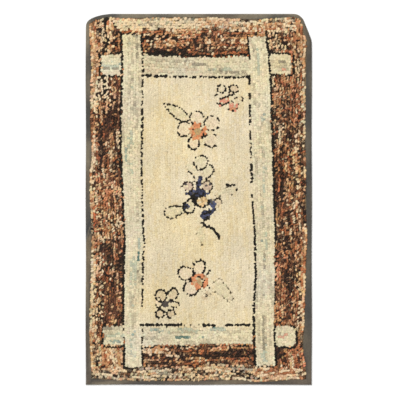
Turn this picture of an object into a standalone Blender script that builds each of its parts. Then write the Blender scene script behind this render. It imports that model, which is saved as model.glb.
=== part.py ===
"""Hooked rag rug with a folded cloth binding, lying flat on the floor.

Metres, +Z up, +X across the rug, +Y along it. The origin is on the floor
under the middle of the rug. The pile stands on a woven foundation whose
folded hem runs out inside the binding, a tape folded over the edge. The
tape's two ends meet on a slant on the left side.
"""

import math

import bpy

MM = 0.001

# The rug and its make-up
WIDTH = 610 * MM
LENGTH = 1000 * MM
PILE_TOP = 10 * MM
HEM_THICK = 3.5 * MM
TAPE_THICK = 1.2 * MM
GAP = 0.3 * MM
EDGE_THICK = HEM_THICK + 2 * TAPE_THICK + 2 * GAP

# The tape's leg under the rug is cut straight; its face varies as tabled.
UNDER_LEG = 18 * MM
STEP_RUN = 0.8 * MM

# Where the pile leans out over the tape's face
LEAN = 0.8 * MM
LEAN_FOOT = 0.4 * MM
LEAN_TOP = 1.6 * MM
SHOULDER = 3.5 * MM
SHOULDER_DROP = 0.5 * MM

# The low swells of the pile's top
SWELL = 0.5 * MM
SWELL_ACROSS = 210 * MM
SWELL_ALONG = 270 * MM
SWELL_PHASES = (0.7, 1.9)

# Spacing of the stations round the edge, and of the rings across the top
STATION = 39 * MM
RING = 42 * MM
ARC_STEPS = 4

# The slanted meeting of the tape's ends, on the left side
JOIN_LOW = -118 * MM
JOIN_RISE = 36 * MM
JOIN_GAP = 1.0 * MM

# How far each straight side bows in between the places where it is widest
BOW = 0.8 * MM
BOW_LENGTH = 333 * MM

# Corners worn off the rectangle: mm in from the side, mm down from the end
WORN_LEFT = ((0, 27), (6, 18), (14, 13), (26, 7.5), (46, 2.5), (66, 0))
WORN_RIGHT = ((40, 0), (25, 11), (0, 73))

# Width of the tape's face: mm along the side from its middle, mm wide
FACE_BOTTOM = ((-305, 16), (-227, 13.5), (-105, 11), (97, 13.5), (170, 8), (278, 15), (305, 16))
FACE_RIGHT = ((-500, 16), (-447, 16), (-407, 24), (-312, 20.5), (-110, 13.5), (-15, 16), (214, 18), (427, 15))
FACE_WORN = ((427, 14), (489, 8.5), (500, 9))
FACE_TOP = ((-239, 9), (-227, 12), (-11, 9.5), (159, 15), (246, 10.5), (265, 9))
FACE_LEFT = ((-500, 16), (-482, 15), (-299, 10.5), (-123, 16), (66, 11), (133, 17), (200, 11), (363, 16), (473, 9))

CLOTH_COLOUR = (0.62, 0.52, 0.36, 1.0)
TAPE_COLOUR = (0.13, 0.115, 0.09, 1.0)
CLOTH_ROUGHNESS = 0.95


def clear_scene():
    for obj in list(bpy.data.objects):
        bpy.data.objects.remove(obj)


def eased(table, at):
    """The tabled width at this place, in metres, with an eased run from row to row."""
    at = at / MM
    for (near, low), (far, high) in zip(table, table[1:]):
        if at <= far:
            share = max(0.0, (at - near) / (far - near))
            share = share * share * (3 - 2 * share)
            return (low + (high - low) * share) * MM
    return table[-1][1] * MM


def between(start, end, spacing):
    """Evenly spaced places from start up to, but not at, end."""
    count = max(1, math.ceil(abs(end - start) / spacing))
    return [start + (end - start) * i / count for i in range(count)]


def bow(at):
    return BOW * (1 - math.cos(2 * math.pi * at / BOW_LENGTH)) / 2


def side_levels(top):
    """Places along a long side, the same on the left and on the right."""
    shared = LENGTH / 2 - WORN_RIGHT[-1][1] * MM
    levels = between(-LENGTH / 2, shared, STATION)
    return levels + between(shared, top, STATION) if top > shared else levels


def stations():
    """The outer edge, anticlockwise from the bottom left corner: (x, y, face width)."""
    half_width, half_length = WIDTH / 2, LENGTH / 2
    found = []
    for x in between(-half_width, half_width, STATION):
        in_from_end = bow(x - half_width) if x > -half_width else 0.0
        found.append((x, -half_length + in_from_end, eased(FACE_BOTTOM, x)))
    right_top = half_length - WORN_RIGHT[-1][1] * MM
    for y in side_levels(right_top):
        in_from_side = bow(y) if y > -half_length else 0.0
        found.append((half_width - in_from_side, y, eased(FACE_RIGHT, y)))
    for across, down in reversed(WORN_RIGHT):
        y = half_length - down * MM
        found.append((half_width - across * MM, y, eased(FACE_WORN, y)))
    top_right = half_width - WORN_RIGHT[0][0] * MM
    top_left = -half_width + WORN_LEFT[-1][0] * MM
    for x in between(top_right, top_left, STATION)[1:]:
        found.append((x, half_length, eased(FACE_TOP, x)))
    for across, down in reversed(WORN_LEFT):
        y = half_length - down * MM
        found.append((-half_width + across * MM, y, eased(FACE_LEFT, y)))
    left_top = half_length - WORN_LEFT[0][1] * MM
    for y in reversed(side_levels(left_top)[1:]):
        found.append((-half_width + bow(y), y, eased(FACE_LEFT, y)))
    return found


def inward(points):
    """For each station the inward direction, stretched so that an inset keeps its width."""
    found = []
    for i, (x, y, _) in enumerate(points):
        x0, y0, _ = points[i - 1]
        x1, y1, _ = points[(i + 1) % len(points)]
        before, after = math.hypot(x - x0, y - y0), math.hypot(x1 - x, y1 - y)
        nx = -(y - y0) / before - (y1 - y) / after
        ny = (x - x0) / before + (x1 - x) / after
        turn = nx * -(y - y0) / before + ny * (x - x0) / before
        found.append((nx / turn, ny / turn))
    return found


def fold_arc(radius):
    """Half a turn round the rug's edge, from its underside to its face: (inset, height)."""
    middle = EDGE_THICK / 2
    return [
        (
            middle - radius * math.sin(math.pi * i / ARC_STEPS),
            middle - radius * math.cos(math.pi * i / ARC_STEPS),
        )
        for i in range(ARC_STEPS + 1)
    ]


def tape_section(face):
    """The folded tape's section, round from the underside leg: (inset, height)."""
    outer, inner = fold_arc(EDGE_THICK / 2), fold_arc(EDGE_THICK / 2 - TAPE_THICK)
    return (
        [(UNDER_LEG, 0.0)]
        + outer
        + [(face, EDGE_THICK), (face, EDGE_THICK - TAPE_THICK)]
        + inner[::-1]
        + [(UNDER_LEG, TAPE_THICK)]
    )


def cloth_section(face):
    """The hem and the pile's side, from the underside up to the shoulder: (inset, height)."""
    hem_low, hem_high = TAPE_THICK + GAP, TAPE_THICK + GAP + HEM_THICK
    step = UNDER_LEG + GAP
    wall = face + GAP
    over = EDGE_THICK + GAP
    side_top = PILE_TOP - LEAN_TOP
    return (
        [(step + STEP_RUN, 0.0), (step, hem_low)]
        + fold_arc(HEM_THICK / 2)
        + [(wall, hem_high), (wall, over)]
        + [(wall - LEAN, over + LEAN_FOOT), (wall - LEAN, side_top)]
        + [(wall - LEAN + SHOULDER / 3, PILE_TOP - SHOULDER_DROP - SWELL)]
    )


def swell(x, y):
    """How far the pile's top dips here, from 0 to twice SWELL."""
    across = math.sin(2 * math.pi * x / SWELL_ACROSS + SWELL_PHASES[0])
    along = math.sin(2 * math.pi * y / SWELL_ALONG + SWELL_PHASES[1])
    return SWELL * (1 - across * along)


def add_solid(name, points, faces, colour):
    mesh = bpy.data.meshes.new(name)
    mesh.from_pydata(points, [], faces)
    mesh.shade_smooth()
    mesh.set_sharp_from_angle(angle=math.radians(40))
    material = bpy.data.materials.new(name)
    material.use_nodes = True
    shader = material.node_tree.nodes["Principled BSDF"]
    shader.inputs["Base Color"].default_value = colour
    shader.inputs["Roughness"].default_value = CLOTH_ROUGHNESS
    material.diffuse_color = colour
    mesh.materials.append(material)
    obj = bpy.data.objects.new(name, mesh)
    bpy.context.scene.collection.objects.link(obj)
    return obj


def make_binding():
    """The folded tape, swept round the edge from one slanted end to the other."""
    points = stations()
    normals = inward(points)
    join_high = JOIN_LOW + JOIN_RISE
    side = -WIDTH / 2
    left = [i for i, p in enumerate(points) if p[0] < side + 2 * BOW and abs(p[1]) < LENGTH / 3]
    above = [i for i in left if points[i][1] > join_high + STATION / 4]
    below = [i for i in left if points[i][1] < JOIN_LOW - STATION / 4]
    run = list(range(below[0], len(points))) + list(range(0, above[-1] + 1))
    start, end = points[below[0]], points[above[-1]]

    def slanted(inset, height, y_low, face):
        share = min(1.0, inset / face)
        y = y_low + JOIN_RISE * share
        return (side + bow(y) + inset, y, height)

    rings = [[slanted(d, z, JOIN_LOW, start[2]) for d, z in tape_section(start[2])]]
    for i in run:
        (x, y, face), (nx, ny) = points[i], normals[i]
        rings.append([(x + nx * d, y + ny * d, z) for d, z in tape_section(face)])
    rings.append([slanted(d, z, JOIN_LOW + JOIN_GAP, end[2]) for d, z in tape_section(end[2])])

    size = len(rings[0])
    verts = [p for ring in rings for p in ring]
    faces = []
    for r in range(len(rings) - 1):
        for i in range(size):
            j = (i + 1) % size
            faces.append((r * size + i, (r + 1) * size + i, (r + 1) * size + j, r * size + j))
    last = (len(rings) - 1) * size
    half = size // 2
    for i in range(half - 1):
        j = size - 1 - i
        faces.append((i, i + 1, j - 1, j))
        faces.append((last + j, last + j - 1, last + i + 1, last + i))
    return add_solid("edge_binding", verts, faces, TAPE_COLOUR)


def make_hooked_cloth():
    """Foundation and pile: rings up the hem and side, then in to a ridge line like a hipped roof."""
    points = stations()
    normals = inward(points)
    count = len(points)
    section_size = len(cloth_section(0.0))
    verts = []
    for k in range(section_size):
        for (x, y, face), (nx, ny) in zip(points, normals):
            inset, height = cloth_section(face)[k]
            verts.append((x + nx * inset, y + ny * inset, height))

    ridge = (LENGTH - WIDTH) / 2
    across = math.ceil(WIDTH / 2 / RING)
    shares = [0.02] + [i / across for i in range(1, across)]
    side_ring = verts[-count:]
    goals = [max(-ridge, min(ridge, y)) for _, y, _ in points]
    for share in shares:
        for (x, y, _), goal in zip(side_ring, goals):
            px, py = x * (1 - share), y + (goal - y) * share
            verts.append((px, py, PILE_TOP - swell(px, py)))
    rings = section_size + len(shares)

    faces = [tuple(range(count))[::-1]]
    for k in range(rings - 1):
        for i in range(count):
            j = (i + 1) % count
            faces.append((k * count + i, k * count + j, (k + 1) * count + j, (k + 1) * count + i))

    # The last ring closes on the ridge, where the left and the right side share their points
    first = (rings - 1) * count
    ridge_points = {}
    for goal in goals:
        if goal not in ridge_points:
            ridge_points[goal] = len(verts)
            verts.append((0.0, goal, PILE_TOP - swell(0.0, goal)))
    for i in range(count):
        j = (i + 1) % count
        near, far = ridge_points[goals[i]], ridge_points[goals[j]]
        face = (first + i, first + j, far, near)
        faces.append(face if near != far else face[:3])
    return add_solid("hooked_cloth", verts, faces, CLOTH_COLOUR)


def main():
    clear_scene()
    make_hooked_cloth()
    make_binding()


main()
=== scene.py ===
import math

import bpy
import numpy as np
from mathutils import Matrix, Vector, kdtree


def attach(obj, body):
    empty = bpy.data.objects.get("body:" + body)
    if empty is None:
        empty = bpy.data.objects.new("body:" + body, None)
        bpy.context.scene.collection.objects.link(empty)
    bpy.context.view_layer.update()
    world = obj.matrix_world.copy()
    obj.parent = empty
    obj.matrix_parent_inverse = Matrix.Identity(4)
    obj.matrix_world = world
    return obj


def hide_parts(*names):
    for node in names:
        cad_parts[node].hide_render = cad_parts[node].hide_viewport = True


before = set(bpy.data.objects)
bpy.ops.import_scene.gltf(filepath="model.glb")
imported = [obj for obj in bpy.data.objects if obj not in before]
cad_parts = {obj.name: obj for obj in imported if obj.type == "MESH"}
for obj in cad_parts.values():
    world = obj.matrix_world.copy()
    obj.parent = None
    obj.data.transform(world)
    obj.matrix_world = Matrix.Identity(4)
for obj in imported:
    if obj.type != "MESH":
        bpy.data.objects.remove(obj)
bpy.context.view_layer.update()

# The hooked rag rug with every rag loop, its woven foundation, and the folded and sewn binding tape.
# All lengths here are millimetres, and become metres when a mesh is made.

MM = 0.001
rng = np.random.default_rng(1907)

# The rug's form, with the same named sizes as the solids
WIDTH, LENGTH = 610, 1000
PILE_TOP = 10
HEM_THICK = 3.5
TAPE_THICK = 1.2
GAP = 0.3
EDGE_THICK = HEM_THICK + 2 * TAPE_THICK + 2 * GAP
UNDER_LEG = 18
LEAN = 0.8
SWELL, SWELL_ACROSS, SWELL_ALONG, SWELL_PHASES = 0.5, 210, 270, (0.7, 1.9)
JOIN_LOW, JOIN_RISE = -118, 36
BOW, BOW_LENGTH = 0.8, 333
WORN_LEFT = ((0, 27), (6, 18), (14, 13), (26, 7.5), (46, 2.5), (66, 0))
WORN_RIGHT = ((40, 0), (25, 11), (0, 73))
FACE_BOTTOM = ((-305, 16), (-227, 13.5), (-105, 11), (97, 13.5), (170, 8), (278, 15), (305, 16))
FACE_RIGHT = ((-500, 16), (-447, 16), (-407, 24), (-312, 20.5), (-110, 13.5), (-15, 16), (214, 18), (427, 15))
FACE_WORN = ((427, 14), (489, 8.5), (500, 9))
FACE_TOP = ((-239, 9), (-227, 12), (-11, 9.5), (159, 15), (246, 10.5), (265, 9))
FACE_LEFT = ((-500, 16), (-482, 15), (-299, 10.5), (-123, 16), (66, 11), (133, 17), (200, 11), (363, 16), (473, 9))

# Loops: spacing along a row and from row to row, and where their roots and the back stitches lie
PITCH, ROW = 6.2, 6.8
BORDER_PITCH, BORDER_ROW = 5.7, 6.8
OUTLINE_PITCH = 7.2
ROOT = 2.5
BACK = 0.95
SIDES = 8
RINGS = ((0.92, 0.0), (1.0, 0.76), (0.64, 0.955))

# The two long bands: height up the rug, left edge, right edge
LEFT_RAIL = ((-449, -196.5, -155.6), (-315, -199.9, -156.7), (-172, -198.8, -154), (-121, -196.1, -150.2),
             (-32, -199.6, -155.9), (36, -202.9, -157), (106, -206.1, -158), (190, -207.4, -155.9),
             (368, -202.9, -154), (440, -206.1, -157))
RIGHT_RAIL = ((-444, 155.2, 204.6), (-353, 152.7, 201.1), (-280, 151.7, 202.1), (-210, 157.6, 203.5),
              (-123, 154.6, 204), (-56, 152.5, 201.6), (12, 146.8, 199.4), (103, 144.6, 197.3),
              (187, 141.9, 194.3), (300, 140.1, 191.6), (390, 140.1, 184.9), (436, 135.7, 178.1))
# The two cross bands: place across the rug, lower edge, upper edge
TOP_BAR = ((-155, 336, 390), (-80, 333.5, 384), (0, 332, 381.5), (80, 332, 383), (140, 333, 385.5))
LOW_BAR = ((-155, -394, -345), (-60, -391, -346), (40, -389, -347), (150, -389, -345))
# Their ends outside the long bands: left, right, lower, upper
STUBS = ((-261, -209, 337, 389), (192, 249, 339, 389), (-255, -202, -391, -344), (206, 257, -393, -341))

# Black outline loops along the long bands: band, side, from, to, share of loops, size
RAIL_LINES = (
    ("left", -1, 452, -338, 1.0, 1.12), ("left", -1, -338, -391, 0.2, 0.8), ("left", -1, -391, -456, 0.95, 1.1),
    ("left", 1, 448, 392, 0.98, 1.15), ("left", 1, 392, 333, 0.97, 0.85), ("left", 1, 327, 272, 0.5, 0.75),
    ("left", 1, 268, 250, 0.7, 0.8), ("left", 1, 246, 140, 0.97, 1.08), ("left", 1, 140, 0, 0.92, 0.92),
    ("left", 1, 0, -290, 0.98, 1.0), ("left", 1, -346, -392, 0.95, 0.8), ("left", 1, -392, -450, 0.95, 1.0),
    ("right", -1, 442, 388, 0.95, 1.0), ("right", -1, 388, 366, 0.8, 0.8), ("right", -1, 336, 310, 1.0, 1.15),
    ("right", -1, 298, 268, 0.9, 0.8), ("right", -1, 257, 197, 1.0, 1.05), ("right", -1, 187, 110, 0.85, 0.75),
    ("right", -1, 98, 46, 1.0, 1.3), ("right", -1, 16, -4, 0.8, 0.75), ("right", -1, -4, -90, 1.0, 1.0),
    ("right", -1, -90, -448, 1.0, 1.28),
    ("right", 1, 442, 255, 1.0, 1.22), ("right", 1, 255, 190, 0.85, 0.9), ("right", 1, 190, -105, 0.97, 1.15),
    ("right", 1, -105, -340, 0.3, 0.85), ("right", 1, -340, -450, 1.0, 1.15),
)
# Other black outline rows: share of loops, size, points
LINES = (
    (1.0, 1.45, ((-153, 335), (-120, 333), (-85, 330.5))), (1.0, 1.16, ((-80, 330), (-30, 329.5))),
    (0.96, 1.1, ((-28, 329.5), (0, 329), (80, 329), (132, 329.5))),
    (1.0, 1.25, ((-152, 394.5), (-80, 389), (-46, 387.5))), (0.9, 1.0, ((-40, 387), (0, 386), (80, 388), (132, 390))),
    (1.0, 1.45, ((-160, -338.5), (-44, -338.5))), (0.4, 0.6, ((-42, -338.5), (3, -339))),
    (1.0, 1.45, ((8, -339), (45, -339))), (1.0, 1.5, ((73, -339), (138, -338.5))),
    (0.75, 0.95, ((-148, -399), (-25, -396))), (0.15, 0.8, ((-20, -396), (108, -394))), (0.9, 0.9, ((108, -394), (146, -394))),
    (0.9, 0.9, ((-266, 392), (-266, 334))), (0.95, 1.0, ((-266, 332), (-212, 332))), (0.6, 0.9, ((-262, 394), (-212, 394))),
    (0.95, 1.0, ((190, 394), (252, 394))), (0.95, 1.0, ((255, 392), (255, 336))), (0.9, 0.9, ((196, 334), (252, 334))),
    (0.95, 0.95, ((-260, -342), (-260, -392))), (0.6, 0.9, ((-256, -339), (-210, -339))), (0.95, 1.0, ((-256, -396.5), (-206, -397))),
    (0.95, 1.0, ((263, -352), (263, -392))), (1.0, 1.2, ((212, -398.5), (260, -399))), (0.5, 0.9, ((235, -336), (260, -345))),
    (0.8, 0.85, ((-196, -454.5), (-160, -454.5))), (0.7, 0.7, ((158, -450), (204, -450))), (0.6, 0.9, ((-206, 446), (-160, 446))),
)

# Flower parts. Rounds: x, y, half width, half height, turn in degrees, fill, outline share, size, outline colour
ROUNDS = (
    # The small flower near the top
    (61, 298, 12, 10, 20, "field", 0.9, 1.0, "ink"), (95, 298, 13, 10, -20, "beige", 0.9, 1.0, "ink"),
    (104, 266, 16, 9, 30, "beige", 0.85, 0.7, "umber"),
    # The upper flower
    (-6, 220, 18.5, 18, 0, "blush", 0.8, 0.8, "ink"), (-39, 190, 20, 18.5, 0, "blush", 0.9, 0.9, "ink"),
    (35, 205, 22, 18.5, 30, "blush", 0.85, 0.95, "ink"), (32, 160, 18, 18, -10, "blush", 0.15, 0.9, "ink"),
    (-13.5, 152, 15, 17.5, 0, "blush", 0.9, 1.0, "ink"),
    # The blue flower in the middle
    (5.5, 100.5, 19.5, 18, 0, "leaf", 0.85, 0.85, "ink"),
    (-29, 35, 14, 13, 0, "dusty", 0.9, 0.85, "umber"), (23, 35, 15, 14, 0, "dusty", 0.8, 0.8, "umber"),
    (-26, -20, 17, 17, 0, "leaf", 0.95, 1.1, "ink"), (51, -12, 10, 15, -10, "beige", 0.75, 0.65, "umber"),
    (9, -6, 17, 14.5, 0, "honey", 1.0, 1.1, "ink"),
    # The lower flower
    (1, -184, 16, 21, -15, "blush", 0.9, 1.0, "ink"), (-35, -199, 20, 19, 20, "blush", 0.95, 0.9, "ink"),
    (-20, -239, 21, 18, 10, "blush", 0.9, 1.0, "ink"), (19, -259, 15, 14, 0, "beige", 0.3, 0.45, "grey"),
    # The small dark flower near the bottom
    (-102, -260, 16, 16, 20, "beige", 0.85, 1.0, "ink"), (-70, -255, 14, 16, -20, "beige", 0.9, 1.0, "ink"),
    (-66, -283, 11, 9, 0, "field", 0.8, 0.95, "ink"), (-105, -308, 11, 11, 30, "beige", 0.9, 1.0, "ink"),
    (-75, -308, 11, 12, -20, "beige", 0.8, 0.95, "ink"), (-108, -283, 9, 8, 0, "blush", 0.7, 0.85, "ink"),
)
# No outline loops within these circles, where petals run into their centre: x, y, radius
OPEN = ((-3, 183, 21), (4, -221, 19), (-27, 20, 9), (19, 19, 9), (41, -12, 9))
# Patches of one colour without an outline: x, y, half width, half height, turn, colour
PATCHES = (
    (-4, 16, 34, 9.5, 0, "blue"), (1, 44, 8, 19, -8, "blue"), (19, -43, 8, 6, 15, "faded_blue"),
    (19, -43, 17, 13.5, 12, "blue"), (30, -34, 11, 8, 40, "blue"), (37.5, -13, 7.5, 17, 6, "faded_blue"),
    (-34, -19, 8, 11, 0, "blue"), (26, 78, 16, 18, -20, "leaf"), (-20, 78, 10, 20, 25, "leaf"),
    (-86.5, -282, 5.5, 11, 0, "slate"),
    (68, 262, 21, 10, 20, "coral"), (85, 288, 7, 6, 0, "coral"), (91, 246, 13, 11, -20, "coral"),
    (4, -202, 9, 6, 0, "marigold"), (0, -242, 9, 7, 0, "marigold"), (64, -247, 29, 16, -45, "leaf"),
)
# Leaves: tip x, tip y, foot x, foot y, half width, where it is widest, fill, then its outline's share, size and colour
LEAVES = (
    (-95, 258, -25, 213, 15, 1.3, "leaf", 0.95, 0.85, "ink"), (-93, -40, -34, -26, 16, 0.62, "leaf", 0.95, 0.8, "ink"),
    (104, 28, 42, 12, 14, 1.0, "leaf", 0.3, 0.5, "grey"),
    (10, -124, 3, -68, 12, 1.0, "leaf", 0.5, 0.4, "grey"),
    (55, -108, 18, -66, 9, 1.0, "leaf", 0.1, 0.4, "grey"),
)
# Solid strokes of loops: colour, size, points
STROKES = (
    ("ink", 1.1, ((56, 271), (70, 275), (84, 280), (99, 284))), ("ink", 0.95, ((81, 292), (88, 276))),
    ("ink", 1.0, ((58, 252), (70, 256), (82, 262))), ("ink", 0.9, ((48, 262), (50, 254))),
    ("ink", 0.8, ((86, 270), (96, 258))), ("ink", 0.9, ((80, 246), (82, 240))), ("ink", 0.8, ((102, 248), (101, 240))),
    ("ink", 0.85, ((43, 280), (52, 284))), ("ink", 0.9, ((6, -60), (10, -68))),
    ("ink", 1.35, ((13, -61), (18, -72), (29, -74), (40, -81), (48, -90), (55, -99), (55, -107))),
    ("ink", 0.95, ((12, 150), (23, 144), (34, 139), (50, 146))),
    ("ink", 0.8, ((-31, 79), (-19.5, 69), (-11.5, 61), (-12, 46))), ("ink", 0.75, ((-8, 92), (-2, 76))),
    ("ink", 0.95, ((26, 94), (36, 92), (41, 80), (37, 70), (24, 58), (19, 53))),
    ("ink", 1.25, ((-11, 6), (-20, 4), (-32, -3), (-43, -14))), ("ink", 1.15, ((-42, -24), (-34, -35), (-27, -38), (-14, -33))),
    ("ink", 1.0, ((34, 44), (38, 36), (35, 25))), ("ink", 1.1, ((71, 40.5), (90, 37.5), (99, 38))), ("ink", 1.1, ((98, 24), (104, 26))),
    ("slate", 0.9, ((-101, -280), (-94, -281))), ("slate", 0.9, ((-79, -279), (-71, -277))),
    ("grey", 0.33, ((36, -249), (57, -257), (86, -280), (92, -267), (84, -244), (57, -212), (34, -229))),
    ("ink", 0.85, ((-54, -276), (-55, -289))), ("grey", 0.5, ((6, -246), (18, -258), (26, -264))),
    ("ink", 0.75, ((6, 198), (10, 184))), ("ink", 1.0, ((12, 178), (13, 172), (7, 163))),
    ("ink", 0.8, ((-17, 194), (-15, 187))), ("ink", 1.1, ((-19, 170), (-30, 153))), ("ink", 0.9, ((40, 176), (45, 173))),
    ("ink", 0.9, ((24, -228), (29, -240))), ("ink", 0.9, ((20, -204), (31, -191))),
    ("ink", 0.85, ((-6, -208), (6, -209), (13, -218), (11, -232), (2, -244))),
    ("ink", 0.8, ((-110, -262), (-102, -272))),
)
# Ringed centres: x, y, then from the middle out: radius, colour, share
CENTRES = (
    (-3, 183, ((0, "ochre", 1), (6.2, "ochre", 1), (12.4, "marigold", 1), (18.6, "marigold", 1), (22.5, "marigold", 0.4))),
    (10, -5, ((0, "honey", 1), (6.3, "honey", 1), (11, "honey", 0.5))),
    (4, -221, ((0, "ochre", 1), (6.2, "ochre", 1), (12.5, "marigold", 1), (18.5, "marigold", 0.95))),
)

# Rag colours, as the eye sees them, 0 to 255
RAGS = {
    "field": (217, 202, 168), "straw": (213, 195, 155), "cream": (229, 206, 164), "pale": (207, 192, 158),
    "chalk": (214, 203, 169), "tan": (201, 160, 119), "camel": (172, 126, 85), "rust": (152, 92, 58),
    "orange": (194, 128, 90), "brick": (176, 99, 65), "brown": (98, 64, 43), "umber": (52, 37, 29),
    "ink": (31, 27, 20), "soot": (40, 27, 19), "maroon": (88, 56, 40), "grey": (146, 136, 114), "mist": (178, 180, 155),
    "teal": (142, 152, 136), "stone": (184, 172, 142), "salmon": (209, 127, 103), "blush": (219, 200, 168),
    "beige": (206, 185, 150), "gold": (214, 184, 130), "ochre": (180, 152, 104), "leaf": (209, 196, 160),
    "dusk": (188, 164, 140), "navy": (34, 36, 50), "indigo": (82, 85, 108), "slate": (84, 78, 74),
    "rose": (200, 147, 123), "flame": (208, 137, 93), "spruce": (88, 114, 104), "oat": (222, 194, 152),
}
# Mixes of rags: name and share
MIXES = {
    "blue": (("navy", 0.46), ("ink", 0.3), ("indigo", 0.16), ("slate", 0.08)),
    "faded_blue": (("indigo", 0.62), ("navy", 0.16), ("grey", 0.14), ("slate", 0.08)),
    "coral": (("salmon", 0.58), ("beige", 0.24), ("orange", 0.12), ("ink", 0.06)),
    "marigold": (("flame", 0.72), ("tan", 0.2), ("rust", 0.08)),
    "honey": (("gold", 0.72), ("ochre", 0.14), ("straw", 0.14)),
    "dusty": (("dusk", 0.6), ("beige", 0.24), ("slate", 0.16)),
    "field": (("field", 0.72), ("straw", 0.28)),
    "rail": (("chalk", 0.4), ("pale", 0.16), ("field", 0.34), ("stone", 0.1)),
    "rail_grey": (("chalk", 0.44), ("stone", 0.32), ("mist", 0.1), ("field", 0.04), ("grey", 0.1)),
    "rail_blue": (("mist", 0.36), ("teal", 0.06), ("stone", 0.18), ("chalk", 0.4)),
    "rail_teal": (("spruce", 0.14), ("teal", 0.3), ("mist", 0.3), ("chalk", 0.26)),
    "rail_pink": (("rose", 0.45), ("chalk", 0.35), ("stone", 0.2)),
    "rail_warm": (("chalk", 0.36), ("pale", 0.3), ("blush", 0.14), ("beige", 0.2)),
    "rail_dark": (("grey", 0.36), ("stone", 0.34), ("chalk", 0.3)),
    "mixed": (("soot", 0.13), ("umber", 0.14), ("brown", 0.16), ("rust", 0.16), ("camel", 0.13), ("tan", 0.14),
              ("oat", 0.14)),
    "cream": (("cream", 0.7), ("oat", 0.3)),
    "light": (("cream", 0.4), ("tan", 0.22), ("pale", 0.2), ("camel", 0.12), ("umber", 0.06)),
    "light_rust": (("oat", 0.34), ("tan", 0.22), ("camel", 0.14), ("rust", 0.13), ("brown", 0.09), ("soot", 0.08)),
    "pale": (("pale", 0.44), ("cream", 0.32), ("tan", 0.12), ("grey", 0.08), ("umber", 0.04)),
    "camel": (("camel", 0.32), ("tan", 0.26), ("rust", 0.17), ("cream", 0.15), ("brown", 0.1)),
    "rust": (("rust", 0.25), ("camel", 0.17), ("brown", 0.2), ("tan", 0.15), ("umber", 0.16), ("oat", 0.07)),
    "orange": (("rust", 0.25), ("orange", 0.11), ("camel", 0.14), ("brown", 0.16), ("umber", 0.15), ("tan", 0.1),
               ("oat", 0.09)),
    "brick": (("brick", 0.58), ("rust", 0.2), ("orange", 0.14), ("brown", 0.08)),
    "maroon": (("maroon", 0.2), ("brown", 0.18), ("umber", 0.2), ("soot", 0.1), ("rust", 0.14), ("camel", 0.09),
               ("tan", 0.09)),
    "dark": (("umber", 0.27), ("soot", 0.27), ("brown", 0.25), ("rust", 0.13), ("camel", 0.08)),
    "black": (("ink", 0.5), ("soot", 0.35), ("umber", 0.15)),
    "dashes": (("soot", 0.34), ("umber", 0.14), ("oat", 0.32), ("tan", 0.2)),
    "speckle": (("tan", 0.21), ("camel", 0.15), ("rust", 0.14), ("brown", 0.16), ("soot", 0.18), ("oat", 0.16)),
    "shade": (("brown", 0.2), ("umber", 0.26), ("soot", 0.22), ("rust", 0.14), ("camel", 0.1), ("tan", 0.08)),
    "bottom": (("tan", 0.23), ("pale", 0.25), ("grey", 0.18), ("cream", 0.14), ("brown", 0.13), ("umber", 0.07)),
}
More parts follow.
